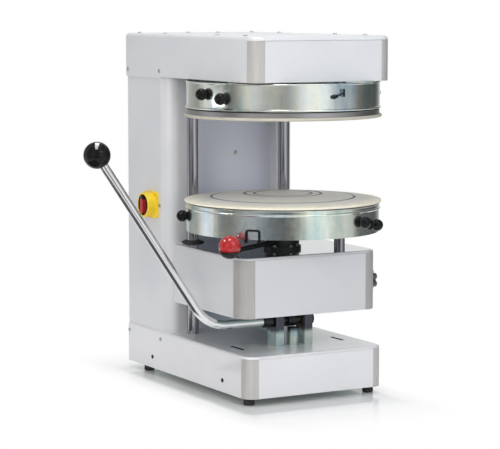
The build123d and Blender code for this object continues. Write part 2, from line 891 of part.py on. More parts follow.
def make_ubolt():
    out = -band_radius - rest_gap - ubolt_radius
    left, right = -ubolt_half, ubolt_half
    nut_top = lower_band_bottom - rest_gap
    low, high = nut_top - ubolt_nut_height, lower_band_bottom + ubolt_height
    path = FilletPolyline(
        (left, out, low), (left, out, high), (right, out, high), (right, out, low), radius=ubolt_bend
    )
    bolt = sweep(Plane((left, out, low)) * Circle(ubolt_radius), path)
    bolt += [upright(x, out, low, nut_top, ubolt_nut_radius) for x in (left, right)]
    return Rot(0, 0, ubolt_angle) * bolt


catch_z = upper_band_top - catch_drop
catch_run = Vector(-catch_rod_run, 0, -catch_rod_fall)
catch_root = Vector(0, -band_radius - catch_rod_out, catch_z)


def catch_at(distance, length, radius):
    start = Plane(catch_root + catch_run.normalized() * distance, z_dir=catch_run)
    return start * Pos(0, 0, length / 2) * Cylinder(radius, length)


def make_catch():
    half = catch_wall / 2
    y0, y1 = -band_radius - catch_reach, -band_radius + band_wall / 2
    ear = block(-half, half, y0, y1, catch_z - catch_height / 2, catch_z + catch_height / 2)
    return Rot(0, 0, catch_angle) * (ear + catch_at(0, catch_run.length, catch_rod_radius))


def make_catch_cap():
    start = catch_run.length - catch_cap_length + catch_rod_radius
    cap = catch_at(start, catch_cap_length, catch_cap_radius)
    cap -= catch_at(0, catch_run.length + rest_gap, catch_rod_radius + fit_gap)
    return Rot(0, 0, catch_angle) * cap


def make_posts(z0, z1):
    return [Rot(0, 0, angle) * upright(0, -post_circle, z0, z1, post_radius) for angle in post_angles]


lower_knob_places = [(angle, lower_band_bottom + rise) for angle, rise in lower_knobs]
upper_knob_places = [(angle, upper_band_top - drop) for angle, drop in upper_knobs]


# Head spindle and belt drive

def make_upper_housing():
    flange_low = head_floor_bottom - head_flange_wall
    seat_low = head_floor_bottom - bearing_width
    return turned(
        (bearing_radius, upper_housing_foot),
        (shell_radius, upper_housing_foot),
        (shell_radius, flange_low),
        (head_flange, flange_low),
        (head_flange, head_floor_bottom),
        (bearing_radius, head_floor_bottom),
        (bearing_radius, seat_low),
        (waist_radius, seat_low),
        (waist_radius, upper_housing_foot + bearing_width),
        (bearing_radius, upper_housing_foot + bearing_width),
    )


def make_upper_spindle():
    flange_top = upper_disc_top + spindle_flange_wall
    shoulder = upper_housing_foot - rest_gap
    return turned(
        (0, upper_disc_top),
        (spindle_flange, upper_disc_top),
        (spindle_flange, flange_top),
        (shoulder_radius, flange_top),
        (shoulder_radius, shoulder),
        (spindle_radius, shoulder),
        (spindle_radius, pulley_top + spindle_tail),
        (0, pulley_top + spindle_tail),
    )


def make_pulley(groove, bore):
    rim = groove + pulley_rim
    cheek = (pulley_width - belt_width) / 2 - belt_side_gap
    low, high = pulley_bottom + cheek, pulley_top - cheek
    return turned(
        (bore, pulley_bottom), (rim, pulley_bottom), (rim, low), (groove, low),
        (groove, high), (rim, high), (rim, pulley_top), (bore, pulley_top),
    )


def make_motor_pulley():
    low, high = head_floor_bottom - motor_shaft_depth, pulley_top + spindle_tail
    shaft = upright(0, 0, low, high, motor_shaft_radius)
    return Pos(0, motor_y) * (make_pulley(motor_pulley_radius, 0) + shaft)


def make_belt():
    ends = ((0, 0), (0, motor_y))
    inner = [radius + belt_gap for radius in (spindle_pulley_radius, motor_pulley_radius)]
    loop = round_bar(ends, [radius + belt_wall for radius in inner]) - round_bar(ends, inner)
    return Pos(0, 0, pulley_bottom + (pulley_width - belt_width) / 2) * extrude(loop, belt_width)


def make_motor():
    high = head_floor_bottom
    low = high - motor_length
    core = motor_radius - motor_fin_depth
    flange = motor_radius + motor_flange_step
    flange_low = high - motor_flange_wall
    cowl_top = low + motor_cowl
    body = turned(
        (0, low),
        (motor_radius - motor_cowl_chamfer, low),
        (motor_radius, low + motor_cowl_chamfer),
        (motor_radius, cowl_top),
        (core, cowl_top),
        (core, flange_low),
        (flange, flange_low),
        (flange, high),
        (0, high),
    )
    fin = block(core - over, motor_radius, -motor_fin_width / 2, motor_fin_width / 2, cowl_top, flange_low)
    body += [Rot(0, 0, 360 * i / motor_fins) * fin for i in range(motor_fins)]
    body -= upright(0, 0, high - motor_shaft_depth - over, high + over, motor_shaft_radius + fit_gap)
    return Pos(0, motor_y) * body


# Thickness lever

def thickness_at(piece):
    return Rot(0, 0, thickness_angle) * piece


def make_thickness_lever():
    bore = hub_radius + fit_gap
    collar = sleeve(0, 0, collar_bottom, collar_top, bore + thickness_collar_wall, bore)
    centre = Pos(0, -thickness_reach, thickness_ball_z)
    seat = thickness_ball_radius + rest_gap
    bowl = centre * Sphere(seat + cup_wall)
    rim_z = thickness_ball_z - cup_drop
    reach = seat + cup_wall + over
    bowl &= block(-reach, reach, -thickness_reach - reach, reach - thickness_reach, rim_z - reach, rim_z)
    arm_z = (collar_bottom + collar_top) / 2
    arm = lengthwise(0, -thickness_reach, -bore - thickness_collar_wall / 2, arm_z, thickness_arm_radius)
    lever = collar + arm + bowl - centre * Sphere(seat)
    stud_low = thickness_ball_z - seat - cup_wall / 2
    return thickness_at(lever + upright(0, -thickness_reach, stud_low, thickness_ball_z, stud_radius))


def make_thickness_ball():
    ball = Sphere(thickness_ball_radius)
    ball -= upright(0, 0, -thickness_ball_radius - over, rest_gap, stud_radius + fit_gap)
    return thickness_at(Pos(0, -thickness_reach, thickness_ball_z) * ball)


# Side knob and main switch

def make_side_knob():
    centres = side_knob_radius - side_knob_lobe
    outline = Circle(centres)
    for i in range(side_knob_lobes):
        outline += Rot(0, 0, 360 * i / side_knob_lobes) * Pos(centres) * Circle(side_knob_lobe)
    grip = extrude(outline, side_knob_height)
    grip = fillet(grip.faces().sort_by(Axis.Z)[-1].edges(), side_knob_edge)
    grip += upright(0, 0, rest_gap - side_knob_gap, 0, side_stem_radius + side_collar_step)
    grip += upright(0, 0, -side_knob_gap - side_stem_depth, 0, side_stem_radius)
    grip_x = carriage_half + side_bush_flange + side_knob_gap
    return Pos(grip_x, side_knob_y, side_knob_z) * Rot(0, 90, 0) * grip


def make_switch_body():
    plate = extrude(RectangleRounded(switch_plate, switch_plate, switch_plate_corner), switch_plate_wall)
    plate = Pos(-column_half, switch_y, switch_z) * Rot(0, -90, 0) * plate
    drum = crosswise(switch_face, -column_half - switch_plate_wall, switch_y, switch_z, switch_drum_radius)
    return plate + fillet(drum.edges().group_by(Axis.X)[0], switch_drum_edge)


def make_switch_bezel():
    bezel = crosswise(bezel_face, switch_face, switch_y, switch_z, switch_bezel_radius)
    bezel = chamfer(bezel.edges().group_by(Axis.X)[0], switch_bezel_edge)
    return bezel - crosswise(bezel_face - over, switch_face + over, switch_y, switch_z, stud_radius + fit_gap)


def make_switch_knob():
    back = bezel_face - rest_gap
    disc = crosswise(back - switch_knob_wall, back, switch_y, switch_z, switch_knob_radius)
    disc = fillet(disc.edges().group_by(Axis.X)[0], switch_knob_edge)
    half = switch_grip_width / 2
    reach = switch_knob_radius - switch_grip_inset
    grip = block(back - switch_grip_height, back - over, -half, half, -reach, reach)
    grip = Pos(0, switch_y, switch_z) * fillet(grip.edges().filter_by(Axis.X), switch_grip_corner)
    return disc + grip + crosswise(back - over, switch_face - rest_gap, switch_y, switch_z, stud_radius)


# Assembly

screw_seats = head_seats + base_seats + rear_seats + recess_seats + top_seats + [switch_seat]
upper_pan = make_pan(upper_band_top, -1, upper_knob_places) + make_posts(upper_band_top, head_floor_bottom)
upper_band = make_band(upper_band_bottom, upper_band_bottom + bead_radius, upper_knob_places) + make_catch()

pieces = {
    "base_cover": make_base_cover(),
    "base_front_panel": front_panel(housing_half, base_front, corner_radius, foot_height, base_lip),
    "base_corners": corner_profiles(housing_half, base_front, corner_radius, foot_height, base_lip),
    "base_tray": make_base_tray(),
    "feet": [make_foot(x, y) for x, y in foot_places],
    "column_cheek_left": mirror(make_cheek(), Plane.YZ) - switch_seat * screw_drill,
    "column_cheek_right": make_cheek(),
    "column_recess_panel": make_recess_panel(),
    "column_rear_cover": make_rear_cover(),
    "cable_gland": make_cable_gland(),
    "head_cover": make_head_cover(),
    "head_front_panel": front_panel(housing_half, head_front, corner_radius, head_bottom, head_lip),
    "head_corners": corner_profiles(housing_half, head_front, corner_radius, head_bottom, head_lip),
    "head_floor": make_head_floor(),
    "cover_screws": [seat * make_screw() for seat in screw_seats],
    "guide_rods": [make_guide_rod(x, y) for x, y in rod_places],
    "rod_sockets": [make_socket(x, y, z) for x, y in rod_places for z in (tray_top, head_floor_top)],
    "fulcrum_brackets": both_sides(make_fulcrum_bracket()) + [make_stop_post()],
    "fulcrum_bushes": both_sides(make_fulcrum_bush()),
    "lift_shaft": make_lift_shaft(),
    "lift_yoke": make_yoke(),
    "lever_hub": make_lever_hub(),
    "lever_rod": make_lever_rod(),
    "lever_ball": make_lever_ball(),
    "carriage_cover": make_carriage_cover(),
    "carriage_front_panel": front_panel(
        carriage_half, carriage_front, carriage_corner, carriage_bottom, carriage_lip
    ),
    "carriage_corners": corner_profiles(
        carriage_half, carriage_front, carriage_corner, carriage_bottom, carriage_lip
    ),
    "carriage_floor": carriage_plate(carriage_bottom, carriage_floor_top),
    "carriage_deck": make_carriage_deck(),
    "bearing_blocks": [
        sleeve(x, y, carriage_floor_top, deck_bottom, block_radius, bush_radius) for x, y in rod_places
    ],
    "linear_bushes": [bush for x, y in rod_places for bush in make_linear_bushes(x, y)],
    "rod_wipers": [make_wiper(x, y) for x, y in rod_places],
    "lower_bearing_housing": make_lower_housing(),
    "lower_bearings": [make_bearing(z) for z in (hub_foot, hub_top - bearing_width)],
    "hub_bolts": [make_hub_bolt(360 * i / hub_bolt_count) for i in range(hub_bolt_count)],
    "lower_spindle": make_lower_spindle(),
    "lower_disc": make_disc(lower_disc_bottom),
    "lower_pad": make_lower_pad(),
    "lower_pan": make_pan(lower_band_bottom, 1, lower_knob_places),
    "lower_guard_band": make_band(
        lower_band_bottom, lower_band_bottom + band_height - bead_radius, lower_knob_places
    ),
    "lower_ring_knobs": [make_ring_knob(angle, z) for angle, z in lower_knob_places] + [make_ubolt()],
    "lower_pan_posts": make_posts(carriage_top, lower_band_bottom),
    "upper_bearing_housing": make_upper_housing(),
    "upper_bearings": [make_bearing(z) for z in (upper_housing_foot, head_floor_bottom - bearing_width)],
    "upper_spindle": make_upper_spindle(),
    "upper_disc": make_disc(upper_disc_bottom),
    "upper_pad": make_upper_pad(),
    "upper_pan": upper_pan,
    "upper_guard_band": upper_band,
    "upper_ring_knobs": [make_ring_knob(angle, z) for angle, z in upper_knob_places] + [make_catch_cap()],
    "drive_motor": make_motor(),
    "motor_pulley": make_motor_pulley(),
    "spindle_pulley": make_pulley(spindle_pulley_radius, spindle_radius + fit_gap),
    "drive_belt": make_belt(),
    "thickness_lever": make_thickness_lever(),
    "thickness_ball": make_thickness_ball(),
    "side_knob": make_side_knob(),
    "switch_body": make_switch_body(),
    "switch_bezel": make_switch_bezel(),
    "switch_knob": make_switch_knob(),
}

groups = {}
for name, piece in pieces.items():
    members = piece if isinstance(piece, list) else [piece]
    groups[name] = [solid for member in members for solid in member.solids()]
middle = Compound([solid for solids in groups.values() for solid in solids]).bounding_box().center()
to_origin = Pos(-middle.X, -middle.Y)

os.makedirs("parts", exist_ok=True)
for name, solids in groups.items():
    placed = [to_origin * solid for solid in solids]
    export_step(placed[0] if len(placed) == 1 else Compound(placed), f"parts/{name}.step")
print(len(pieces), "nodes, origin moved by", to_origin.position)
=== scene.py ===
import json
import math

import bmesh
import bpy
from mathutils import Matrix, Vector


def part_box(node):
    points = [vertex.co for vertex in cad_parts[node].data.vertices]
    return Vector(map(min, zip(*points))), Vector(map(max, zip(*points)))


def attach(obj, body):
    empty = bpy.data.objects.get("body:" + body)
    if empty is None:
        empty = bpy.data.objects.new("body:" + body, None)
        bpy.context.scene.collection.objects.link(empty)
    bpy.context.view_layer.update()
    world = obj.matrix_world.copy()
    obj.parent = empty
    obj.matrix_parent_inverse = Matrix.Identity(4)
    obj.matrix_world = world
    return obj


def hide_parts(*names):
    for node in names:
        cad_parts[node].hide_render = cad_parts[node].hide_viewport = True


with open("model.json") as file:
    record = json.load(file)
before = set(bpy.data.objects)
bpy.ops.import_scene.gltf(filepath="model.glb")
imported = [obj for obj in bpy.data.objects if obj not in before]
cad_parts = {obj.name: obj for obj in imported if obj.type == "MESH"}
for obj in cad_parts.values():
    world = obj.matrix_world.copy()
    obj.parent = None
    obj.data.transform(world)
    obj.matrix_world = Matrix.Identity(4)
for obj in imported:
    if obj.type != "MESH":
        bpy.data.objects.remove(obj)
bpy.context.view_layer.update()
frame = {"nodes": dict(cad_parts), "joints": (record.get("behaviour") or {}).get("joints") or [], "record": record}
nodes = frame["nodes"]
scene = bpy.context.scene
slotOf = {row["node"]: row["material_slot"] for row in frame["record"]["subparts"]}
jointPlaces = {joint["name"]: Vector(joint.get("pos_m", (0, 0, 0))) for joint in frame["joints"]}
plateAxis = jointPlaces["lower_plate_spin"]
switchAxis = jointPlaces["switch_turn"]
axisFoot = Vector((plateAxis.x, plateAxis.y, 0))
print("frame loaded:", len(nodes), "nodes")


# A socket that can stand in sums: each operator adds a Math node
class Signal:
    def __init__(self, graph, made, output):
        self.graph = graph
        self.made = made
        self.socket = made.outputs[output]

    def other(self, output):
        return Signal(self.graph, self.made, output)

    def __add__(self, value):
        return self.graph.maths("ADD", self, value)

    def __radd__(self, value):
        return self.graph.maths("ADD", value, self)

    def __sub__(self, value):
        return self.graph.maths("SUBTRACT", self, value)

    def __rsub__(self, value):
        return self.graph.maths("SUBTRACT", value, self)

    def __mul__(self, value):
        return self.graph.maths("MULTIPLY", self, value)

    def __rmul__(self, value):
        return self.graph.maths("MULTIPLY", value, self)

    def __truediv__(self, value):
        return self.graph.maths("DIVIDE", self, value)

    def __rtruediv__(self, value):
        return self.graph.maths("DIVIDE", value, self)

    def __pow__(self, value):
        return self.graph.maths("POWER", self, value)

    def __neg__(self):
        return self.graph.maths("MULTIPLY", self, -1.0)

    def __abs__(self):
        return self.graph.maths("ABSOLUTE", self)


# First weight as it is, and each pattern times its own weight
def weigh(weights, *patterns):
    total = weights[0]
    for weight, pattern in zip(weights[1:], patterns):
        total = total + pattern * weight
    return total


# Two patterns in one, the first with the share that is given
def mingle(share, first, second):
    return first * share + second * (1 - share)


# A node tree, for shaders and for geometry
class Graph:
    def __init__(self, tree):
        self.tree = tree

    def node(self, kind, settings=None, sockets=None, output=0):
        made = self.tree.nodes.new(kind)
        for key, value in (settings or {}).items():
            if key == "stops":
                ramp = made.color_ramp
                while len(ramp.elements) < len(value):
                    ramp.elements.new(0.5)
                for element, (place, colour) in zip(ramp.elements, value):
                    element.position = place
                    element.color = (*colour, 1)
            else:
                setattr(made, key, value)
        for key, value in (sockets or {}).items():
            for one in value if isinstance(value, list) else [value]:
                target = made.inputs[key]
                if isinstance(one, Signal):
                    self.tree.links.new(one.socket, target)
                elif target.type == "RGBA":
                    target.default_value = (*one, 1)
                else:
                    target.default_value = one
        return Signal(self, made, output) if made.outputs else None

    def maths(self, operation, *values):
        return self.node("ShaderNodeMath", {"operation": operation}, dict(enumerate(values)))

    def vector(self, operation, *values):
        return self.node("ShaderNodeVectorMath", {"operation": operation}, dict(enumerate(values)))

    def length(self, vector):
        return self.vector("LENGTH", vector).other("Value")

    def split(self, vector):
        return self.node("ShaderNodeSeparateXYZ", None, {0: vector})

    def join(self, x, y, z):
        return self.node("ShaderNodeCombineXYZ", None, {0: x, 1: y, 2: z})

    def smooth(self, value, low, high):
        settings = {"interpolation_type": "SMOOTHSTEP"}
        return self.node("ShaderNodeMapRange", settings, {0: value, 1: low, 2: high})

    def blend(self, factor, first, second, mode="MIX"):
        settings = {"data_type": "RGBA", "blend_type": mode}
        return self.node("ShaderNodeMix", settings, {0: factor, 6: first, 7: second}, 2)

    def glow(self, colour, strength=1.0, kind="Emission"):
        return self.node("ShaderNode" + kind, None, {"Color": colour, "Strength": strength})


# A material: its patterns lie on Object coordinates, which are the frame's own metres
class Finish(Graph):
    def __init__(self, name):
        self.material = bpy.data.materials.new(name)
        self.material.use_nodes = True
        super().__init__(self.material.node_tree)
        self.tree.nodes.clear()
        self.place = self.node("ShaderNodeTexCoord", output="Object")

    def noise(self, scale, detail=2.0, rough=0.5, stretch=None, at=None):
        place = at or self.place
        if stretch:
            place = self.vector("MULTIPLY", place, stretch)
        sockets = {"Vector": place, "Scale": scale, "Detail": detail, "Roughness": rough}
        return self.node("ShaderNodeTexNoise", None, sockets, "Fac")

    def noises(self, look, *keys):
        return [self.noise(*look[key]) for key in keys]

    def cells(self, scale, output="Color"):
        sockets = {"Vector": self.place, "Scale": scale}
        return self.node("ShaderNodeTexVoronoi", None, sockets, output)

    def ramp(self, value, *stops):
        return self.node("ShaderNodeValToRGB", {"stops": stops}, {0: value}, "Color")

    def height(self):
        return self.split(self.place).other("Z")

    def aboutAxis(self, centre):
        return self.vector("SUBTRACT", self.place, (centre.x, centre.y, 0))

    def radius(self, centre):
        return self.length(self.vector("MULTIPLY", self.aboutAxis(centre), (1, 1, 0)))

    # A colour times another one, or times a pattern's grey
    def tint(self, colour, by):
        if isinstance(by, Signal):
            by = self.join(by, by, by)
        return self.blend(1.0, colour, by, "MULTIPLY")

    def bump(self, height, strength, distance, under=None):
        sockets = {"Height": height, "Strength": strength, "Distance": distance}
        if under:
            sockets["Normal"] = under
        return self.node("ShaderNodeBump", None, sockets)

    def close(self, shader):
        self.node("ShaderNodeOutputMaterial", None, {"Surface": shader})
        return self.material

    def finish(self, **sockets):
        named = {key.replace("_", " "): value for key, value in sockets.items()}
        return self.close(self.node("ShaderNodeBsdfPrincipled", None, named))

    # The shader from a look's own rough, metallic and bump, with the patterns that feed them
    def surface(self, look, colour, roughBy, relief, **sockets):
        return self.finish(
            Base_Color=colour, Roughness=weigh(look["rough"], *roughBy),
            Metallic=look.get("metallic", 0.0), Normal=self.bump(relief, *look["bump"]), **sockets)


# In the looks below, a noise is (scale, detail, roughness, stretch), a bump is (strength,
# distance), edges are where a change starts and ends, and rough and tone are a first value
# with what each pattern adds to it.

# Silver-white paint on folded sheet: slight cloudiness, fine flake and orange peel
panelPaint = {
    "light": (0.73, 0.74, 0.765), "dull": (0.695, 0.705, 0.735),
    "cloud": (5, 3), "cloudEdges": (0.35, 0.65), "flake": 1500, "flakeTone": (0.955, 0.06),
    "peel": (620, 2), "bump": (0.10, 0.0004), "rough": (0.36, 0.1, 0.06),
    "metallic": 0.12, "coatRough": 0.07,
}
# Tints that make lighter, darker and bluer copies of the one paint, which is painted light and shade: the base's
# panels lighter, the carriage's darker for the shade under the plates, the recess bluer for the light it gets
panelPaintedLight = {
    "plain": (1, 1, 1), "base": (1.08, 1.07, 1.06),
    "carriage": (0.91, 0.91, 0.91), "recess": (1.06, 1.10, 1.22),
}
panelCoats = {"plain": 0.25, "baseCover": 0.8, "carriageCover": 0.6}
polishedTop = {"colour": (0.40, 0.41, 0.44), "rough": 0.09, "metallic": 0.85, "below": 0.0012}
# Dark on and round the walls of the base's slots: painted shade in the slots
slotShade = {
    "out": 0.124, "along": -0.022, "half": 0.022, "reach": 0.0050, "fade": 0.0003,
    "colour": (0.02, 0.02, 0.023),
}


def paintedPanel(name, paintedLight="plain", coat="plain", polishedFrom=None, slots=False):
    paint = Finish(name)
    cloud, peel = paint.noises(panelPaint, "cloud", "peel")
    flake = paint.split(paint.cells(panelPaint["flake"]))
    share = paint.smooth(cloud, *panelPaint["cloudEdges"])
    colour = paint.blend(share, panelPaint["dull"], panelPaint["light"])
    colour = paint.tint(colour, weigh(panelPaint["flakeTone"], flake))
    # Painted light and shade: the paint's copy made lighter, darker or bluer
    colour = paint.tint(colour, panelPaintedLight[paintedLight])
    rough = weigh(panelPaint["rough"], cloud, flake)
    metallic = panelPaint["metallic"]
    if polishedFrom:
        top = paint.smooth(paint.height(), polishedFrom - polishedTop["below"], polishedFrom)
        colour = paint.blend(top, colour, polishedTop["colour"])
        rough = rough + top * (polishedTop["rough"] - rough)
        metallic = metallic + top * (polishedTop["metallic"] - metallic)
    if slots:
        about = paint.split(paint.aboutAxis(plateAxis))
        across = abs(about) - slotShade["out"]
        along = abs(about.other("Y") - slotShade["along"]) - slotShade["half"]
        beyond = paint.maths("MAXIMUM", along, 0)
        distance = (across * across + beyond * beyond) ** 0.5
        # Painted shade in the slots
        rim = 1 - paint.smooth(distance, slotShade["reach"] - slotShade["fade"], slotShade["reach"])
        colour = paint.blend(rim, colour, slotShade["colour"])
    return paint.finish(
        Base_Color=colour, Roughness=rough, Metallic=metallic, Coat_Weight=panelCoats[coat],
        Coat_Roughness=panelPaint["coatRough"], Normal=paint.bump(peel, *panelPaint["bump"]))


# Satin anodised corner extrusions with drawn lines up their length
cornerMetal = {
    "light": (0.565, 0.55, 0.535), "dark": (0.475, 0.462, 0.448),
    "lines": (900, 3, 0.6, (1, 1, 0.012)), "haze": (9, 2), "lineShare": 0.7,
    "edges": (0.32, 0.68), "rough": (0.40, 0.14, 0.05), "metallic": 0.35, "bump": (0.06, 0.0003),
}
# The carriage's corners darker: painted shade under the plates
cornerPaintedShade = {"plain": (1, 1, 1), "carriage": (0.84, 0.84, 0.84)}


def cornerProfile(name, paintedLight="plain"):
    metal = Finish(name)
    lines, haze = metal.noises(cornerMetal, "lines", "haze")
    share = metal.smooth(mingle(cornerMetal["lineShare"], lines, haze), *cornerMetal["edges"])
    colour = metal.blend(share, cornerMetal["dark"], cornerMetal["light"])
    # Painted shade where asked: a darker copy of the metal
    colour = metal.tint(colour, cornerPaintedShade[paintedLight])
    return metal.surface(cornerMetal, colour, (lines, haze), lines)


# Bright zinc on the rolled bands and pans: colours run in upright zones round the axis,
# a weld closes each band, and what stands out from it is black
bandZinc = {
    "wrap": 0.2, "zoneRise": 0.25, "zones": (9, 2, 0.55), "streaks": (60, 3, 0.6),
    "zoneShare": 0.8,
    "stops": (
        (0.34, (0.42, 0.60, 0.58)), (0.43, (0.62, 0.75, 0.71)), (0.50, (0.82, 0.84, 0.74)),
        (0.57, (0.74, 0.81, 0.82)), (0.66, (0.50, 0.63, 0.72)),
    ),
    "spangle": 120, "spangleTone": (0.96, 0.05), "rough": (0.12, 0.09, 0.02, 0.2),
    "metallic": 1, "rippleRise": 0.6, "ripple": (26, 2, 0.5), "rippleBump": (0.05, 0.003),
}
bandWeld = {
    "angle": 95, "edges": (0.0012, 0.004), "rearEdges": (0, 0.1), "share": 0.6,
    "colour": (0.36, 0.37, 0.38), "bump": (0.3, 0.001),
}
bandCatch = {"from": 0.2084, "fade": 0.0006, "colour": (0.07, 0.07, 0.08)}


def bandMetal():
    zinc = Finish("zincBand")
    flat = zinc.vector("MULTIPLY", zinc.aboutAxis(plateAxis), (1, 1, 0))
    east = zinc.split(zinc.vector("NORMALIZE", flat))
    north, height = east.other("Y"), zinc.height()
    wrap = bandZinc["wrap"]

    def around(rise):
        return zinc.join(east * wrap, north * wrap, height * rise)

    zonePlace = around(bandZinc["zoneRise"])
    zones = zinc.noise(*bandZinc["zones"], at=zonePlace)
    streaks = zinc.noise(*bandZinc["streaks"], at=zonePlace)
    spangle = zinc.split(zinc.cells(bandZinc["spangle"]))
    colour = zinc.ramp(mingle(bandZinc["zoneShare"], zones, streaks), *bandZinc["stops"])
    colour = zinc.tint(colour, weigh(bandZinc["spangleTone"], spangle))
    turn = math.radians(bandWeld["angle"])
    across = abs(east * math.sin(turn) - north * math.cos(turn)) * wrap
    rear = east * math.cos(turn) + north * math.sin(turn)
    weld = 1 - zinc.smooth(across, *bandWeld["edges"])
    weld = weld * zinc.smooth(rear, *bandWeld["rearEdges"])
    colour = zinc.blend(weld * bandWeld["share"], colour, bandWeld["colour"])
    reach, start = zinc.radius(plateAxis), bandCatch["from"]
    catch = zinc.smooth(reach, start, start + bandCatch["fade"])
    colour = zinc.blend(catch, colour, bandCatch["colour"])
    ripple = zinc.noise(*bandZinc["ripple"], at=around(bandZinc["rippleRise"]))
    rippled = zinc.bump(ripple, *bandZinc["rippleBump"])
    return zinc.finish(
        Base_Color=colour, Roughness=weigh(bandZinc["rough"], streaks, spangle, weld),
        Metallic=bandZinc["metallic"], Normal=zinc.bump(weld, *bandWeld["bump"], rippled))


# Zinc on cut plate and screws: cloudy blue, green and straw tints, with painted shade above a height where asked
plateZinc = {
    "tints": (45, 3, 0.55), "grain": (900, 2, 0.6, (1, 1, 0.15)),
    "stops": (
        (0.30, (0.32, 0.45, 0.50)), (0.45, (0.44, 0.57, 0.58)),
        (0.55, (0.53, 0.59, 0.50)), (0.70, (0.45, 0.55, 0.60)),
    ),
    "rough": (0.30, 0.16), "metallic": 0.95, "bump": (0.08, 0.0003),
}
plateShade = {"colour": (0.075, 0.08, 0.10), "from": 0.128, "fade": 0.012, "wander": 0.01}


def plateMetal(name, shadedAbove=False):
    zinc = Finish(name)
    tints, grain = zinc.noises(plateZinc, "tints", "grain")
    colour = zinc.ramp(tints, *plateZinc["stops"])
    if shadedAbove:
        # Painted shade: darker above a height, where the carriage shades the brackets
        height = zinc.height() + (tints - 0.5) * plateShade["wander"]
        share = zinc.smooth(height, plateShade["from"], plateShade["from"] + plateShade["fade"])
        colour = zinc.blend(share, colour, plateShade["colour"])
    return zinc.surface(plateZinc, colour, (grain,), grain)


# Plain finishes: a broad noise takes the colour from dark to light, and fine noise or pores
# give the grain. Patch is where the broad noise starts and ends to add to the roughness.
plainLooks = {
    # Machined steel inside the machine, with turning marks
    "machinedSteel": {
        "fine": (1400, 2, 0.5, (0.06, 0.06, 1)), "broad": (22, 3),
        "dark": (0.42, 0.42, 0.43), "light": (0.58, 0.58, 0.58),
        "rough": (0.22, 0.2), "metallic": 1, "bump": (0.08, 0.0003),
    },
    # Chrome with faint wipe marks
    "polishedChrome": {
        "fine": (600, 2, 0.5, (1, 1, 0.05)), "broad": (38, 3, 0.6, (1, 1, 0.2)),
        "dark": (0.70, 0.71, 0.73), "light": (0.86, 0.86, 0.87), "patch": (0.45, 0.75),
        "rough": (0.05, 0.02, 0.08), "metallic": 1, "bump": (0.01, 0.0002),
    },
    # Guide rods: greyer than chrome, with grinding marks round them
    "groundRod": {
        "fine": (1500, 2, 0.5, (0.05, 0.05, 1)), "broad": (30, 3, 0.6, (1, 1, 0.15)),
        "dark": (0.33, 0.33, 0.37), "light": (0.45, 0.45, 0.49),
        "rough": (0.07, 0.03, 0.05), "metallic": 1, "bump": (0.03, 0.0002),
    },
    # Black steel with a slight bloom of grey
    "blackenedSteel": {
        "fine": (1100, 2, 0.6), "broad": (55, 4, 0.6), "edges": (0.4, 0.75),
        "dark": (0.016, 0.016, 0.018), "light": (0.045, 0.045, 0.05),
        "rough": (0.3, 0.08, 0.12), "metallic": 0.55, "bump": (0.12, 0.0003),
    },
    "mattRubber": {
        "fine": (1000, 3, 0.6), "broad": (60, 3),
        "dark": (0.014, 0.014, 0.014), "light": (0.034, 0.033, 0.032),
        "rough": (0.62, 0.2), "bump": (0.2, 0.0004),
    },
    "sinteredBronze": {
        "pores": 900, "broad": (60, 3),
        "dark": (0.12, 0.085, 0.045), "light": (0.24, 0.17, 0.085),
        "rough": (0.34, 0.3), "metallic": 0.95, "bump": (0.15, 0.0004),
    },
    # Cast motor housing in grey paint
    "castMotor": {
        "fine": (420, 3, 0.6), "broad": (16, 3),
        "dark": (0.13, 0.145, 0.16), "light": (0.21, 0.23, 0.25),
        "rough": (0.4, 0.2), "bump": (0.3, 0.0006),
    },
}
plainLooks["leverChrome"] = {**plainLooks["polishedChrome"], "rough": (0.15, 0.02, 0.08)}
# Posts: a darker copy of the rod steel, which is painted shade under the lower band
plainLooks["postSteel"] = {
    **plainLooks["groundRod"], "dark": (0.22, 0.22, 0.25), "light": (0.32, 0.32, 0.36),
}


def plainFinish(name):
    look = plainLooks[name]
    plain = Finish(name)
    broad = plain.noise(*look["broad"])
    if "pores" in look:
        fine = plain.cells(look["pores"], "Distance")
    else:
        fine = plain.noise(*look["fine"])
    share = plain.smooth(broad, *look["edges"]) if "edges" in look else broad
    patch = plain.smooth(broad, *look["patch"]) if "patch" in look else broad
    colour = plain.blend(share, look["dark"], look["light"])
    return plain.surface(look, colour, (fine, patch), fine)


# Faced aluminium plates: rings from the lathe tool
facedPlate = {
    "pitch": 0.0011, "wanderReach": 420, "wander": (1, 3, 0.6), "haze": (14, 3),
    "wanderShare": 0.6, "dark": (0.30, 0.30, 0.31), "light": (0.48, 0.48, 0.49),
    "rough": (0.28, 0.16), "metallic": 1, "ringHeight": 0.5, "bump": (0.12, 0.0003),
}


def facedAluminium():
    plate = Finish("facedAluminium")
    radius = plate.radius(plateAxis)
    rings = plate.maths("SINE", radius * (2 * math.pi / facedPlate["pitch"]))
    outward = plate.join(radius * facedPlate["wanderReach"], 0, 0)
    wander = plate.noise(*facedPlate["wander"], at=outward)
    haze = plate.noise(*facedPlate["haze"])
    share = mingle(facedPlate["wanderShare"], wander, haze)
    colour = plate.blend(share, facedPlate["dark"], facedPlate["light"])
    relief = rings * facedPlate["ringHeight"] + wander
    return plate.surface(facedPlate, colour, (wander,), relief)


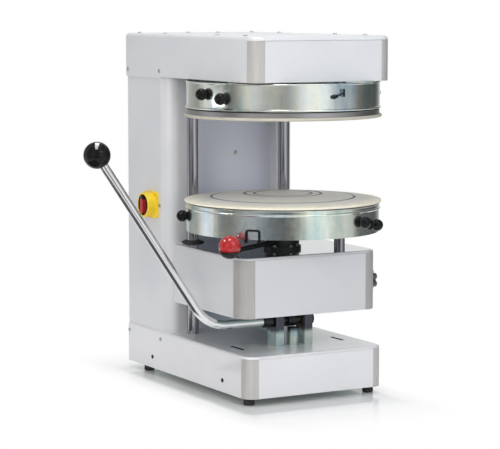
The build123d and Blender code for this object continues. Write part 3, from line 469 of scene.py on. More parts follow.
# Cream pad material: mottled and slightly fibrous, greyer inside a radius, which is painted shade,
# with printed size rings (middle, half width) on the lower one
padLook = {
    "pale": (0.93, 0.89, 0.75), "warm": (0.84, 0.79, 0.64), "edges": (0.34, 0.66),
    "mottle": (40, 4, 0.6), "fibre": (260, 3, 0.6, (1, 0.25, 1)), "mottleShare": 0.6,
    "speck": (900, 2, 0.7), "speckEdges": (0.60, 0.78), "speckShare": 0.35,
    "speckColour": (0.52, 0.46, 0.34),
    "wornAndShaded": (0.60, 0.605, 0.62), "shadeEdges": (0.185, 0.222), "shadeWander": 0.03, "shadeShare": 0.55,
    "rough": (0.46, 0.14, 0.08), "speckHeight": 0.6, "bump": (0.14, 0.0004),
}
# The upper pad's cream is darker: painted shade under the head, with some wear
padPaintedShade = {"lower": (1, 1, 1), "upper": (0.60, 0.60, 0.60)}
ringInk = {
    "colour": (0.055, 0.045, 0.17), "edges": (0.7, 1.15), "wander": (120, 2),
    "wanderBy": 0.0006, "wear": (75, 3), "wearTone": (0.72, 0.4),
    "rings": ((0.1526, 0.0027), (0.0819, 0.0031), (0.0612, 0.0031)),
}


def padFacing(name, paintedLight, rings=False):
    pad = Finish(name)
    mottle, fibre, speck = pad.noises(padLook, "mottle", "fibre", "speck")
    share = pad.smooth(mingle(padLook["mottleShare"], mottle, fibre), *padLook["edges"])
    colour = pad.blend(share, padLook["warm"], padLook["pale"])
    specks = pad.smooth(speck, *padLook["speckEdges"]) * padLook["speckShare"]
    colour = pad.blend(specks, colour, padLook["speckColour"])
    reach = pad.radius(plateAxis)
    # Greyer inside a radius: painted shade on the pad's face
    unshaded = pad.smooth(reach + mottle * padLook["shadeWander"], *padLook["shadeEdges"])
    colour = pad.blend((1 - unshaded) * padLook["shadeShare"], colour, padLook["wornAndShaded"])
    # Painted shade where asked: a darker copy of the cream
    colour = pad.tint(colour, padPaintedShade[paintedLight])
    if rings:
        radius = reach + (pad.noise(*ringInk["wander"]) - 0.5) * ringInk["wanderBy"]
        ink = 0.0
        for middle, half in ringInk["rings"]:
            start, stop = [half * edge for edge in ringInk["edges"]]
            ink = (1 - pad.smooth(abs(radius - middle), start, stop)) + ink
        wear = weigh(ringInk["wearTone"], pad.noise(*ringInk["wear"]))
        colour = pad.blend(ink * wear, colour, ringInk["colour"])
    relief = mingle(padLook["speckHeight"], speck, fibre)
    return pad.surface(padLook, colour, (mottle, speck), relief)


# Switch grip: red moulding, with black on its upper end and round it, which is painted shade of the collar's
# recess
switchLook = {
    "red": (0.42, 0.014, 0.014), "paleRed": (0.52, 0.026, 0.024), "black": (0.014, 0.014, 0.015),
    "gripHalf": 0.0066, "blackFrom": 0.0125, "fade": 0.0002,
    "swirl": (70, 3), "dust": (1300, 2), "rough": (0.22, 0.08, 0.05),
    "coat": 0.4, "coatRough": 0.08, "bump": (0.04, 0.0002),
}


def switchGrip():
    grip = Finish("switchGrip")
    offset = grip.split(grip.vector("SUBTRACT", grip.place, tuple(switchAxis)))
    half, start, fade = [switchLook[key] for key in ("gripHalf", "blackFrom", "fade")]
    beside = grip.smooth(abs(offset.other("Y")), half, half + fade)
    above = grip.smooth(offset.other("Z"), start, start + fade)
    dark = grip.maths("MAXIMUM", beside, above)
    swirl, dust = grip.noises(switchLook, "swirl", "dust")
    red = grip.blend(swirl, switchLook["red"], switchLook["paleRed"])
    # Black on the grip's upper end and round it: painted shade of the collar's recess
    colour = grip.blend(dark, red, switchLook["black"])
    return grip.surface(
        switchLook, colour, (swirl, dust), dust, Coat_Weight=switchLook["coat"],
        Coat_Roughness=switchLook["coatRough"])


# Glossy moulded plastic; within a radius of the switch's axis, where one is given, black as painted shade
glossSurface = {
    "swirl": (30, 3, 0.55), "swirlEdges": (0.3, 0.75), "dust": (1300, 2, 0.6),
    "dustEdges": (0.66, 0.82), "dustShare": 0.05, "dustColour": (0.5, 0.5, 0.5),
    "coatRough": 0.06, "shine": 0.5, "bump": (0.03, 0.0002), "blackFade": 0.0003,
}
glossLooks = {
    "blackGloss": {"deep": (0.005, 0.005, 0.006), "pale": (0.010, 0.010, 0.012),
                   "rough": (0.08, 0.06, 0.03), "coat": 0, "shine": 0.19},
    "redGloss": {"deep": (0.40, 0.010, 0.013), "pale": (0.48, 0.022, 0.026),
                 "rough": (0.12, 0.06, 0.03), "coat": 0.3},
    "yellowSatin": {"deep": (0.94, 0.66, 0.02), "pale": (0.97, 0.72, 0.05),
                    "rough": (0.34, 0.06, 0.03), "coat": 0.1},
    "greyBlackGrip": {"deep": (0.045, 0.047, 0.055), "pale": (0.075, 0.078, 0.088),
                      "rough": (0.20, 0.06, 0.03), "coat": 0.4},
}


def gloss(name, like=None, blackWithin=None):
    look = {**glossSurface, **glossLooks[like or name]}
    plastic = Finish(name)
    swirl, dust = plastic.noises(look, "swirl", "dust")
    colour = plastic.blend(plastic.smooth(swirl, *look["swirlEdges"]), look["deep"], look["pale"])
    dusty = plastic.smooth(dust, *look["dustEdges"]) * look["dustShare"]
    colour = plastic.blend(dusty, colour, look["dustColour"])
    if blackWithin:
        offset = plastic.vector("SUBTRACT", plastic.place, tuple(switchAxis))
        reach = plastic.length(plastic.vector("MULTIPLY", offset, (0, 1, 1)))
        outside = plastic.smooth(reach, blackWithin, blackWithin + look["blackFade"])
        colour = plastic.blend(outside, switchLook["black"], colour)
    return plastic.surface(
        look, colour, (swirl, dust), dust, Coat_Weight=look["coat"],
        Coat_Roughness=look["coatRough"], Specular_IOR_Level=look["shine"])


slotLooks = {
    "painted_panel": paintedPanel("paintedPanel"),
    "corner_profile": cornerProfile("cornerProfile"),
    "galvanised_steel": plateMetal("zincPlate"),
    "plain_steel": plainFinish("machinedSteel"),
    "chrome": plainFinish("polishedChrome"),
    "plate_aluminium": facedAluminium(),
    "pad_cream": padFacing("padFacing", "upper"),
    "black_plastic": gloss("blackGloss"),
    "black_steel": plainFinish("blackenedSteel"),
    "red_plastic": gloss("redGloss"),
    "yellow_plastic": gloss("yellowSatin"),
    "rubber": plainFinish("mattRubber"),
    "bronze": plainFinish("sinteredBronze"),
    "motor_cast": plainFinish("castMotor"),
}
bandFinish = bandMetal()
nodeLooks = {
    "lower_guard_band": bandFinish,
    "upper_guard_band": bandFinish,
    "lower_pan": bandFinish,
    "upper_pan": bandFinish,
    # The base, recess and carriage panels below take painted light and shade through their tints
    "base_cover": paintedPanel("slottedPanel", "base", "baseCover", slots=True),
    "base_front_panel": paintedPanel("basePanel", "base"),
    "column_recess_panel": paintedPanel("recessPanel", "recess"),
    "carriage_cover": paintedPanel(
        "polishedPanel", "carriage", "carriageCover", polishedFrom=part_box("carriage_cover")[1].z),
    "carriage_front_panel": paintedPanel("carriagePanel", "carriage"),
    "carriage_corners": cornerProfile("carriageCorner", "carriage"),
    "fulcrum_brackets": plateMetal("oiledPlate", shadedAbove=True),
    "lever_rod": plainFinish("leverChrome"),
    # The lift shaft takes the black steel: painted shade between the uprights
    "lift_shaft": slotLooks["black_steel"],
    "guide_rods": plainFinish("groundRod"),
    "lower_pan_posts": plainFinish("postSteel"),
    "side_knob": gloss("greyBlackGrip"),
    "switch_knob": switchGrip(),
}


def finishOf(node):
    return nodeLooks.get(node) or slotLooks[slotOf[node]]


for name, piece in nodes.items():
    piece.data.materials[0] = finishOf(name)
print("finishes given to", len(nodes), "nodes")

# Reaches within which points are one: in a recipe and a CAD node's copy, and in a made piece
mergeReach = {"recipe": 1e-6, "piece": 2e-6}


# A Geometry Nodes tree with named inputs
class Recipe(Graph):
    def __init__(self, name, *inputs):
        super().__init__(bpy.data.node_groups.new(name, "GeometryNodeTree"))
        self.sockets = {}
        face = self.tree.interface
        for label, kind in inputs:
            made = face.new_socket(name=label, in_out="INPUT", socket_type="NodeSocket" + kind)
            self.sockets[label] = made.identifier
        face.new_socket(name="Mesh", in_out="OUTPUT", socket_type="NodeSocketGeometry")
        self.given = self.node("NodeGroupInput")

    def input(self, label):
        return self.given.other(label)

    def end(self, mesh):
        self.node("NodeGroupOutput", None, {0: mesh})

    def paint(self, mesh, label, **sockets):
        sockets = {"Geometry": mesh, "Material": self.input(label), **sockets}
        return self.node("GeometryNodeSetMaterial", None, sockets)

    # A profile of (radius, 0, height) points turned round Z
    def turn(self, profile, segments):
        line = self.node("GeometryNodeObjectInfo", None, {"Object": profile}, "Geometry")
        settings = {"component": "MESH"}
        count = self.node("GeometryNodeAttributeDomainSize", settings, {0: line}, "Point Count")
        sockets = {"Vertices X": segments + 1, "Vertices Y": count}
        grid = self.node("GeometryNodeMeshGrid", None, sockets, "Mesh")
        index = self.node("GeometryNodeInputIndex")
        step = self.maths("FLOOR", (index + 0.5) / count)
        place = self.node("GeometryNodeInputPosition")
        settings = {"data_type": "FLOAT_VECTOR", "domain": "POINT"}
        sockets = {"Geometry": line, "Value": place, "Index": index - step * count}
        radius = self.split(self.node("GeometryNodeSampleIndex", settings, sockets))
        angle = step * (2 * math.pi) / segments
        x, y = [radius * self.maths(operation, angle) for operation in ("COSINE", "SINE")]
        sockets = {"Geometry": grid, "Position": self.join(x, y, radius.other("Z"))}
        moved = self.node("GeometryNodeSetPosition", None, sockets)
        sockets = {"Geometry": moved, "Distance": mergeReach["recipe"]}
        return self.node("GeometryNodeMergeByDistance", None, sockets)


def addObject(name, data):
    made = bpy.data.objects.new(name, data)
    scene.collection.objects.link(made)
    return made


def dropObjects(*objects):
    for scratch in objects:
        bpy.data.objects.remove(scratch)


# A plain mesh object of points, joined in a line where a profile is meant
def pointMesh(name, points, joined=False):
    mesh = bpy.data.meshes.new(name)
    edges = [(i, i + 1) for i in range(len(points) - 1)] if joined else []
    mesh.from_pydata([tuple(point) for point in points], edges, [])
    return addObject(name, mesh)


def profileMesh(name, line):
    return pointMesh(name + "Profile", [(radius, 0, height) for radius, height in line], True)


def evaluatedMesh(holder):
    depsgraph = bpy.context.evaluated_depsgraph_get()
    return bpy.data.meshes.new_from_object(holder.evaluated_get(depsgraph))


# Runs a recipe on an object and gives the result as a plain, closed, outward-facing mesh
def runRecipe(recipe, holder, name, values, sharp):
    modifier = holder.modifiers.new("recipe", "NODES")
    modifier.node_group = recipe.tree
    for label, value in values.items():
        modifier[recipe.sockets[label]] = value
    mesh = evaluatedMesh(holder)
    holder.modifiers.remove(modifier)
    build = bmesh.new()
    build.from_mesh(mesh)
    bmesh.ops.remove_doubles(build, verts=build.verts, dist=mergeReach["piece"])
    bmesh.ops.recalc_face_normals(build, faces=build.faces)
    build.to_mesh(mesh)
    build.free()
    mesh.name = name
    mesh.shade_smooth()
    mesh.set_sharp_from_angle(angle=math.radians(sharp))
    return addObject(name, mesh)


# Separate bodies of a CAD node, each as a list of its points, from a merged copy
def separateBodies(node):
    build = bmesh.new()
    build.from_mesh(nodes[node].data)
    bmesh.ops.remove_doubles(build, verts=build.verts, dist=mergeReach["recipe"])
    seen, groups = set(), []
    for first in build.verts:
        if first in seen:
            continue
        group, todo = [], [first]
        seen.add(first)
        while todo:
            vert = todo.pop()
            group.append(vert.co.copy())
            for edge in vert.link_edges:
                far = edge.other_vert(vert)
                if far not in seen:
                    seen.add(far)
                    todo.append(far)
        groups.append(group)
    build.free()
    return groups


# Top of a screw's head and its outward direction: the head is at the wider end of the longest side
def screwSeat(points):
    endSlack = 0.0003
    low = Vector([min(point[k] for point in points) for k in range(3)])
    high = Vector([max(point[k] for point in points) for k in range(3)])
    middle = (low + high) / 2
    size = high - low
    axis = max(range(3), key=lambda k: size[k])

    def spread(end):
        near = [point - middle for point in points if abs(point[axis] - end[axis]) < endSlack]
        return max(math.hypot(*[p[k] for k in range(3) if k != axis]) for p in near)

    headEnd = high if spread(high) > spread(low) else low
    outward = Vector((0, 0, 0))
    outward[axis] = 1 if headEnd == high else -1
    tip = middle.copy()
    tip[axis] = headEnd[axis]
    return tip, outward


# Top of a bolt's head, which always points up
def boltSeat(points):
    middle = sum(points, Vector()) / len(points)
    return Vector((middle.x, middle.y, max(point.z for point in points))), Vector((0, 0, 1))


# Screws: a turned head with a cross recess, set on seat points that carry their outward direction
def buildScrewRecipe():
    recipe = Recipe(
        "fastenerField", ("Seats", "Geometry"), ("Profile", "Object"), ("Segments", "Int"),
        ("Head height", "Float"), ("Recess length", "Float"), ("Recess width", "Float"),
        ("Recess depth", "Float"), ("Seed", "Int"), ("Finish", "Material"),
        ("Low finish", "Material"), ("Low below", "Float"))
    node, given = recipe.node, recipe.input
    head = recipe.turn(given("Profile"), given("Segments"))
    sizes = recipe.join(given("Recess length"), given("Recess width"), given("Recess depth") * 2)
    bar = node("GeometryNodeMeshCube", None, {"Size": sizes})
    lift = recipe.join(0, 0, given("Head height"))
    bars = []
    for turn in (0, math.pi / 2):
        sockets = {"Geometry": bar, "Translation": lift, "Rotation": (0, 0, turn)}
        bars.append(node("GeometryNodeTransform", None, sockets))
    settings = {"operation": "DIFFERENCE", "solver": "EXACT"}
    cut = node("GeometryNodeMeshBoolean", settings, {"Mesh 1": head, "Mesh 2": bars}, "Mesh")
    settings = {"data_type": "FLOAT_VECTOR"}
    outward = node("GeometryNodeInputNamedAttribute", settings, {"Name": "outward"})
    facing = node("FunctionNodeAlignRotationToVector", {"axis": "Z"}, {"Vector": outward})
    sockets = {2: 0, 3: 2 * math.pi, "Seed": given("Seed")}
    random = node("FunctionNodeRandomValue", {"data_type": "FLOAT"}, sockets, 1)
    sockets = {"Axis": (0, 0, 1), "Angle": random}
    spin = node("FunctionNodeAxisAngleToRotation", None, sockets)
    settings = {"rotation_space": "LOCAL"}
    turned = node("FunctionNodeRotateRotation", settings, {0: facing, 1: spin})
    sockets = {"Points": given("Seats"), "Instance": cut, "Rotation": turned}
    field = node("GeometryNodeInstanceOnPoints", None, sockets)
    whole = node("GeometryNodeRealizeInstances", None, {0: field})
    height = recipe.split(node("GeometryNodeInputPosition")).other("Z")
    sockets = {0: height, 1: given("Low below")}
    low = node("FunctionNodeCompare", {"operation": "LESS_THAN"}, sockets)
    recipe.end(recipe.paint(recipe.paint(whole, "Finish"), "Low finish", Selection=low))
    return recipe


screwRecipe = buildScrewRecipe()
screwSharp = 32  # degrees


def makeFasteners(name, node, body, look, seats):
    holder = pointMesh(name + "Seats", [tip - outward * look["head"] for tip, outward in seats])
    attribute = holder.data.attributes.new("outward", "FLOAT_VECTOR", "POINT")
    for row, (tip, outward) in zip(attribute.data, seats):
        row.vector = outward
    profile = profileMesh(name, look["profile"])
    values = {
        "Profile": profile, "Segments": look["segments"], "Head height": look["head"],
        "Seed": look["seed"], "Finish": slotLooks["galvanised_steel"],
        "Low finish": slotLooks["black_steel"], "Low below": look["lowBelow"],
    }
    values.update(zip(("Recess length", "Recess width", "Recess depth"), look["recess"]))
    made = runRecipe(screwRecipe, holder, name, values, screwSharp)
    dropObjects(holder, profile)
    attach(made, body)
    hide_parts(node)
    print(name, "set on", len(seats), "seats,", len(made.data.polygons), "faces")


# Recess is (length, width, depth); heads below the height lowBelow are black
coverScrewLook = {
    "profile": ((0, -0.007), (0.0016, -0.007), (0.002, -0.0062), (0.002, 0), (0.0045, 0),
                (0.0045, 0.0007), (0.0043, 0.0012), (0.0038, 0.0017), (0.0030, 0.0021),
                (0.0018, 0.00235), (0, 0.0024)),
    "head": 0.0024, "segments": 28, "recess": (0.0048, 0.0011, 0.0013), "seed": 11,
    "lowBelow": 0.06,
}
makeFasteners("coverScrews", "cover_screws", "frame", coverScrewLook,
              [screwSeat(points) for points in separateBodies("cover_screws")])

hubBoltLook = {
    "profile": ((0, 0), (0.0040, 0), (0.0040, 0.0021), (0.0036, 0.0025), (0.0032, 0.0028),
                (0, 0.0028)),
    "head": 0.0028, "segments": 6, "recess": (0.0034, 0.0009, 0.0009), "seed": 5,
    "lowBelow": 0,
}
makeFasteners("hubBolts", "hub_bolts", "carriage", hubBoltLook,
              [boltSeat(points) for points in separateBodies("hub_bolts")])


# Turned pieces: an outline of (radius, height) carried round an axis
def buildFacingRecipe():
    recipe = Recipe("turnedFacing", ("Holder", "Geometry"), ("Profile", "Object"),
                    ("Segments", "Int"), ("Finish", "Material"))
    turned = recipe.turn(recipe.input("Profile"), recipe.input("Segments"))
    recipe.end(recipe.paint(turned, "Finish"))
    return recipe


facingRecipe = buildFacingRecipe()
turnedLook = {"edgeSteps": 8, "segments": 160, "sharp": 40}


# Points of a round edge in an outline, from one angle to another in degrees
def roundEdge(radius, height, bend, start, stop):
    steps = turnedLook["edgeSteps"]
    angles = [math.radians(start + (stop - start) * i / steps) for i in range(steps + 1)]
    return [(radius + bend * math.cos(a), height + bend * math.sin(a)) for a in angles]


def makeTurned(name, line, finish, place):
    profile = profileMesh(name, line)
    holder = pointMesh(name + "Holder", [(0, 0, 0)])
    values = {"Profile": profile, "Segments": turnedLook["segments"], "Finish": finish}
    made = runRecipe(facingRecipe, holder, name, values, turnedLook["sharp"])
    dropObjects(holder, profile)
    made.data.transform(place)
    print(name, "turned,", len(made.data.polygons), "faces")
    return made


def onAxis(height):
    return Matrix.Translation((plateAxis.x, plateAxis.y, height))


# Plate facings: discs with a round rim, a crown or a seat (reach, depth) for the disc behind, and
# shallow grooves that hold the printed rings. Shares of a groove are of its ring's half width.
lowerFacingLook = {
    "rim": 0.004, "edge": 0.0012, "crown": 0.084, "rings": ringInk["rings"], "faceUp": True,
    "seat": None,
}
upperFacingLook = {
    "rim": 0.009, "edge": 0.003, "crown": 0, "rings": (), "faceUp": False,
    "seat": (0.1982, 0.0025),
}
facingSteps = {"face": 20, "backShare": 0.5}
grooveLook = {"depth": 0.00025, "clear": 1.6, "outline": ((1.2, 0), (0.9, 1), (-0.9, 1), (-1.2, 0))}


# Outline from the middle of the back, round the rim and up the crown
def facingProfile(look, radius, thickness):
    edge, rim, crown = look["edge"], look["rim"], look["crown"]
    slope = (thickness - rim) / (radius - crown)
    line = [(0, 0), (radius * facingSteps["backShare"], 0)]
    back = 0.0
    if look["seat"]:
        reach, back = look["seat"]
        line += [(reach, 0), (reach, back)]
    line += roundEdge(radius - edge, back + edge, edge, -90, 0)
    line += roundEdge(radius - edge, rim - edge, edge, 0, 90)
    count = facingSteps["face"]
    spots = [(radius - edge) * (1 - i / count) for i in range(1, count)] + [crown]
    clear = grooveLook["clear"]
    depths = {r: 0.0 for r in spots if all(abs(r - m) > h * clear for m, h in look["rings"])}
    for middle, half in look["rings"]:
        for share, depth in grooveLook["outline"]:
            depths[middle + half * share] = depth * grooveLook["depth"]
    for r in sorted(depths, reverse=True):
        if r > 0:
            line.append((r, rim + slope * (radius - max(r, crown)) - depths[r]))
    return line + [(0, thickness)]


def makeFacing(name, node, body, finish, look):
    low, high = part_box(node)
    thickness = high.z - low.z
    line = facingProfile(look, (high.x - low.x) / 2, thickness)
    if not look["faceUp"]:
        line = [(radius, thickness - height) for radius, height in line]
    made = makeTurned(name, line, finish, onAxis(low.z))
    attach(made, body)
    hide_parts(node)


ringedFinish = padFacing("ringedFacing", "lower", rings=True)
makeFacing("lowerFacing", "lower_pad", "lower_plate", ringedFinish, lowerFacingLook)
makeFacing("upperFacing", "upper_pad", "upper_plate", slotLooks["pad_cream"], upperFacingLook)

# Rings at the bands' open edges and round the upper disc, which close the gaps to the pads:
# heights are from the top of the node that each sits on
ringLooks = (
    {"name": "lowerBandLip", "on": "lower_guard_band", "body": "carriage", "radius": 0.2055,
     "wall": 0.0016, "heights": (-0.0008, 0.0070), "bead": 0.0010},
    {"name": "upperBandLip", "on": "upper_guard_band", "body": "frame", "radius": 0.2055,
     "wall": 0.0016, "heights": (-0.0008, 0.0046), "bead": 0.0018},
    {"name": "upperDiscRim", "on": "upper_disc", "body": "upper_plate", "radius": 0.2046,
     "wall": 0.0060, "heights": (-0.0098, 0), "bead": 0.0006},
)


# Closed outline of a ring's wall, with a half-round bead at the upper end of its outer face
def ringProfile(look):
    outer, bead = look["radius"], look["bead"]
    inner = outer - look["wall"]
    low, high = look["heights"]
    line = [(inner, low), (outer, low)] + roundEdge(outer, high - bead, bead, -90, 90)
    return line + [(inner, high), (inner, low)]


def makeRing(look):
    node = look["on"]
    place = onAxis(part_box(node)[1].z)
    made = makeTurned(look["name"], ringProfile(look), finishOf(node), place)
    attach(made, look["body"])


for look in ringLooks:
    makeRing(look)

# Collar of the switch: it stands out from the bezel and reaches back over the drum; inside it is
# black, which is painted shade. Radii are from the switch's axis, heights from the bezel's foot.
collarLook = {
    "inner": 0.0228, "outer": 0.0276, "sleeve": 0.0271, "aroundBezel": 0.0242,
    "overBezel": 0.0016, "foot": -0.0019, "seat": 0.0001, "top": 0.0074, "edge": 0.0012,
    "blackWall": 0.0004,
}


def collarProfile(look):
    inner, outer, sleeve, bezel = [look[key] for key in ("inner", "outer", "sleeve", "aroundBezel")]
    foot, seat, top, edge = [look[key] for key in ("foot", "seat", "top", "edge")]
    line = [(bezel, seat), (sleeve, seat), (sleeve, foot), (outer, foot)]
    line += roundEdge(outer - edge, top - edge, edge, 0, 90)
    line += [(inner, top), (inner, look["overBezel"]), (bezel, look["overBezel"])]
    return line + line[:1]


def makeCollar():
    black = collarLook["inner"] + collarLook["blackWall"]
    finish = gloss("collarYellow", "yellowSatin", black)
    place = Matrix.Translation((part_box("switch_bezel")[1].x, switchAxis.y, switchAxis.z))
    place = place @ Matrix.Rotation(math.radians(-90), 4, "Y")
    made = makeTurned("switchCollar", collarProfile(collarLook), finish, place)
    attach(made, "frame")


makeCollar()

# Generic off and on marks on the switch plate
markLook = {
    "size": 0.0068, "raise": 0.00012, "out": 0.0232, "plateWall": 0.005,
    "wear": (900, 3), "wearEdges": (0.55, 0.8), "rough": (0.4, 0.2),
    "ink": (0.012, 0.012, 0.012), "wornAndShaded": (0.05, 0.04, 0.02),
}


def markInk():
    ink = Finish("markInk")
    wear = ink.noise(*markLook["wear"])
    share = ink.smooth(wear, *markLook["wearEdges"])
    colour = ink.blend(share, markLook["ink"], markLook["wornAndShaded"])
    return ink.finish(Base_Color=colour, Roughness=weigh(markLook["rough"], wear))


def makeMark(name, text, up, finish):
    letter = bpy.data.curves.new(name, "FONT")
    letter.body = text
    letter.size = markLook["size"]
    letter.extrude = markLook["raise"]
    letter.align_x = "CENTER"
    letter.align_y = "CENTER"
    holder = addObject(name + "Text", letter)
    mesh = evaluatedMesh(holder)
    dropObjects(holder)
    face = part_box("switch_body")[1].x - markLook["plateWall"]
    facing = Matrix(((0, 0, -1), (-1, 0, 0), (0, 1, 0))).to_4x4()  # upright, read from -X
    out = markLook["out"]
    spot = Matrix.Translation((face, switchAxis.y - out, switchAxis.z + up * out))
    mesh.transform(spot @ facing)
    mesh.materials.clear()
    mesh.materials.append(finish)
    made = addObject(name, mesh)
    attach(made, "frame")


inkFinish = markInk()
makeMark("switchMarkOff", "0", 1, inkFinish)
makeMark("switchMarkOn", "1", -1, inkFinish)
print("switch marks made")

# Floor: polished near the base, so that it mirrors it, and plain white further out, along two
# changes of which quick is the nearer one's share
floorLook = {
    "half": 9, "colour": (0.90, 0.90, 0.905), "rough": 0.05, "shine": 0.5, "pale": 0.03,
    "quick": 0.50, "near": (0, 0.09), "far": (0.03, 0.26), "sideways": 3,
    "shift": (-0.02, -0.05),
}
plainWhite = (1, 1, 1)


# One where a ray comes from the camera, gloss or glass
def seenShare(graph):
    path = graph.node("ShaderNodeLightPath", output="Is Camera Ray")
    total = path + path.other("Is Glossy Ray") + path.other("Is Transmission Ray")
    return graph.maths("MINIMUM", total, 1)


def floorFinish():
    floor = Finish("paleFloor")
    low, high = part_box("base_cover")
    half = (high - low) / 2
    middle = (low + high) / 2 + Vector((*floorLook["shift"], 0))
    about = floor.vector("ABSOLUTE", floor.aboutAxis(middle))
    beyond = floor.vector("SUBTRACT", about, (half.x, half.y, 0))
    beyond = floor.vector("MAXIMUM", beyond, (0, 0, 0))
    distance = floor.length(floor.vector("MULTIPLY", beyond, (floorLook["sideways"], 1, 1)))
    near, far = [floor.smooth(distance, *floorLook[key]) for key in ("near", "far")]
    reach = far + (near - far) * floorLook["quick"]
    share = weigh((floorLook["pale"], 1 - floorLook["pale"]), reach) * seenShare(floor)
    sockets = {"Base Color": floorLook["colour"], "Roughness": floorLook["rough"],
               "Specular IOR Level": floorLook["shine"]}
    polish = floor.node("ShaderNodeBsdfPrincipled", None, sockets)
    sockets = {0: share, 1: polish, 2: floor.glow(plainWhite)}
    return floor.close(floor.node("ShaderNodeMixShader", None, sockets))


def faceMesh(name, points, faces, finish):
    mesh = bpy.data.meshes.new(name)
    mesh.from_pydata(points, [], faces)
    mesh.materials.append(finish)
    return addObject(name, mesh)


def makeFloor():
    half = floorLook["half"]
    corners = [(-half, -half, 0), (half, -half, 0), (half, half, 0), (-half, half, 0)]
    floor = faceMesh("floor", corners, [(0, 1, 2, 3)], floorFinish())


makeFloor()

# World: white where it is seen or mirrored, plain soft light elsewhere
worldLook = {"soft": (0.93, 0.965, 1), "level": 0.54}


def makeWorld():
    world = bpy.data.worlds.new("studio")
    scene.world = world
    world.use_nodes = True
    world.node_tree.nodes.clear()
    graph = Graph(world.node_tree)
    soft = graph.glow(worldLook["soft"], worldLook["level"], "Background")
    white = graph.glow(plainWhite, kind="Background")
    mixed = graph.node("ShaderNodeMixShader", None, {0: seenShare(graph), 1: soft, 2: white})
    graph.node("ShaderNodeOutputWorld", None, {"Surface": mixed})


makeWorld()

# Lamps: their places and what they point at are from the plates' axis on the floor
lampAim = (-0.03, 0.08, 0.40)
lampLooks = (
    {"name": "frontKey", "at": (0.6, -3, 1.9), "size": (1.4, 1.6), "watts": 20,
     "colour": (0.92, 0.96, 1)},
    {"name": "leftFill", "at": (-2.7, -1.9, 1.3), "size": (1.4, 1.8), "watts": 38,
     "colour": (1, 0.945, 0.885)},
    {"name": "overhead", "at": (-0.4, -0.4, 2.9), "size": (0.5, 2.4), "watts": 29,
     "colour": (1, 0.99, 0.98)},
)


def makeLamp(look):
    lamp = bpy.data.lights.new(look["name"], "AREA")
    lamp.shape = "RECTANGLE"
    lamp.size, lamp.size_y = look["size"]
    lamp.energy = look["watts"]
    lamp.color = look["colour"]
    made = addObject(look["name"], lamp)
    made.location = axisFoot + Vector(look["at"])
    ahead = axisFoot + Vector(lampAim) - made.location
    made.rotation_euler = ahead.to_track_quat("-Z", "Y").to_euler()


for look in lampLooks:
    makeLamp(look)


# A card that lights nothing and is seen only in gloss and metal
def makeCard(name, points, faces, finish):
    made = faceMesh(name, points, faces, finish)
    made.visible_camera = False
    made.visible_diffuse = False
    made.visible_transmission = False
    made.visible_shadow = False


# Direction at some degrees from the front, towards the right
def outwardAt(degrees):
    turn = math.radians(degrees)
    return Vector((math.sin(turn), -math.cos(turn), 0))


# Rows of (reach, height) carried round the plates' axis
def ringCard(name, look, finish):
    points, faces = [], []
    start, stop, segments, rows = [look[key] for key in ("from", "to", "segments", "rows")]
    for i in range(segments + 1):
        outward = outwardAt(start + (stop - start) * i / segments)
        points += [axisFoot + outward * reach + Vector((0, 0, height)) for reach, height in rows]
    count = len(rows)
    for first in range(0, segments * count, count):
        for k in range(first, first + count - 1):
            faces.append((k, k + count, k + count + 1, k + 1))
    makeCard(name, points, faces, finish)


def plainCard(name, shade, strength=1.0):
    card = Finish(name)
    return card.close(card.glow((shade, shade, shade), strength))


# Surround, so that metal and gloss show edges: shades by degrees from the front, low down and
# high up, with a change between them at some height
surroundLook = {
    "from": -180, "to": 180, "segments": 72, "change": (0.18, 0.36),
    "rows": ((1.7, 0.012), (3, 0.012), (3, 2.6), (0.9, 2.6)),
    "low": (
        (-180, 0.42), (-148, 0.38), (-133, 1), (-119, 0.82), (-107, 0.22), (-90, 0.20),
        (-75, 0.34), (-64, 0.28), (-45, 0.10), (-27, 0.06), (-18, 0.14), (-6, 0.55), (2, 1),
        (22, 1), (31, 0.65), (55, 0.70), (66, 0.14), (108, 0.10), (122, 0.35), (136, 0.90),
        (180, 0.90),
    ),
    "high": (
        (-180, 0.50), (-146, 0.30), (-131, 0.76), (-120, 0.62), (-108, 0.20), (-94, 0.16),
        (-85, 0.26), (-74, 0.62), (-64, 0.64), (-52, 0.40), (-36, 0.40), (-26, 0.36),
        (-16, 0.60), (-5, 1), (20, 1), (31, 0.58), (55, 0.48), (67, 0.16), (108, 0.08),
        (122, 0.35), (136, 0.90), (180, 0.90),
    ),
}


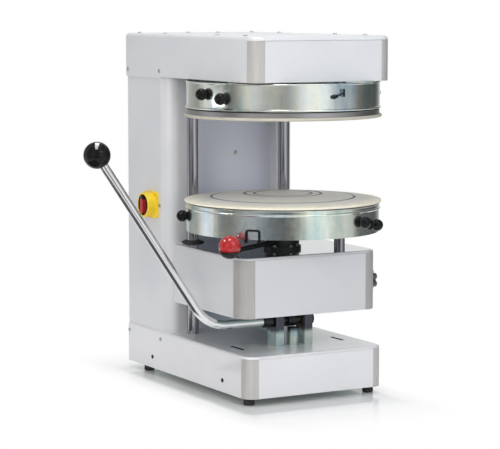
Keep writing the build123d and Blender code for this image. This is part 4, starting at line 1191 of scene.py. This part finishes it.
def surroundFinish():
    card = Finish("surround")
    parts = card.split(card.aboutAxis(axisFoot))
    share = card.maths("ARCTAN2", parts, -parts.other("Y")) / (2 * math.pi) + 0.5
    ramps = []
    for key in ("low", "high"):
        stops = [((degrees + 180) / 360, (shade,) * 3) for degrees, shade in surroundLook[key]]
        ramps.append(card.ramp(share, *stops))
    high = card.smooth(parts.other("Z"), *surroundLook["change"])
    return card.close(card.glow(card.blend(high, *ramps)))


ringCard("surround", surroundLook, surroundFinish())

# Dark card on the floor at the left
floorCardLook = {
    "from": -128, "to": -56, "segments": 24, "shade": 0.10,
    "rows": ((0.36, 0.012), (1.05, 0.012)),
}
ringCard("floorCard", floorCardLook, plainCard("floorCard", floorCardLook["shade"]))

# Bright strip above the lever's ball, with a grey one over it that covers its back
ballCardLook = {
    "turn": -29.3, "ahead": 0.075, "behind": 0.045, "half": 0.016, "above": 0.09, "strength": 32,
    "backAbove": 0.094, "backShade": 0.45,
}


def ballCard(name, above, finish):
    look = ballCardLook
    ahead, side = outwardAt(look["turn"]), outwardAt(look["turn"] + 90) * look["half"]
    low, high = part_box("lever_ball")
    centre = (low + high) / 2 + Vector((0, 0, above))
    front, back = centre + ahead * look["ahead"], centre - ahead * look["behind"]
    points = [front - side, front + side, back + side, back - side]
    makeCard(name, points, [(0, 1, 2, 3)], finish)


brightStrip = plainCard("ballCard", 1, ballCardLook["strength"])
ballCard("ballCard", ballCardLook["above"], brightStrip)
greyStrip = plainCard("ballCardBack", ballCardLook["backShade"])
ballCard("ballCardBack", ballCardLook["backAbove"], greyStrip)
print("studio ready")

# Camera at the photograph's angle, placed from the plates' axis
cameraLook = {
    "at": (-2.171201, -3.727996, 0.8298), "yaw": 29.29, "pitch": 6.25, "lens": 146.25,
    "sensor": 36,
}


def makeCamera():
    data = bpy.data.cameras.new("camera")
    data.lens = cameraLook["lens"]
    data.sensor_width = cameraLook["sensor"]
    data.sensor_fit = "HORIZONTAL"
    made = addObject("camera", data)
    yaw, pitch = math.radians(cameraLook["yaw"]), math.radians(cameraLook["pitch"])
    level = math.cos(pitch)
    ahead = Vector((math.sin(yaw) * level, math.cos(yaw) * level, -math.sin(pitch)))
    made.location = axisFoot + Vector(cameraLook["at"])
    made.rotation_euler = ahead.to_track_quat("-Z", "Y").to_euler()
    scene.camera = made


makeCamera()
scene.view_settings.view_transform = "Standard"
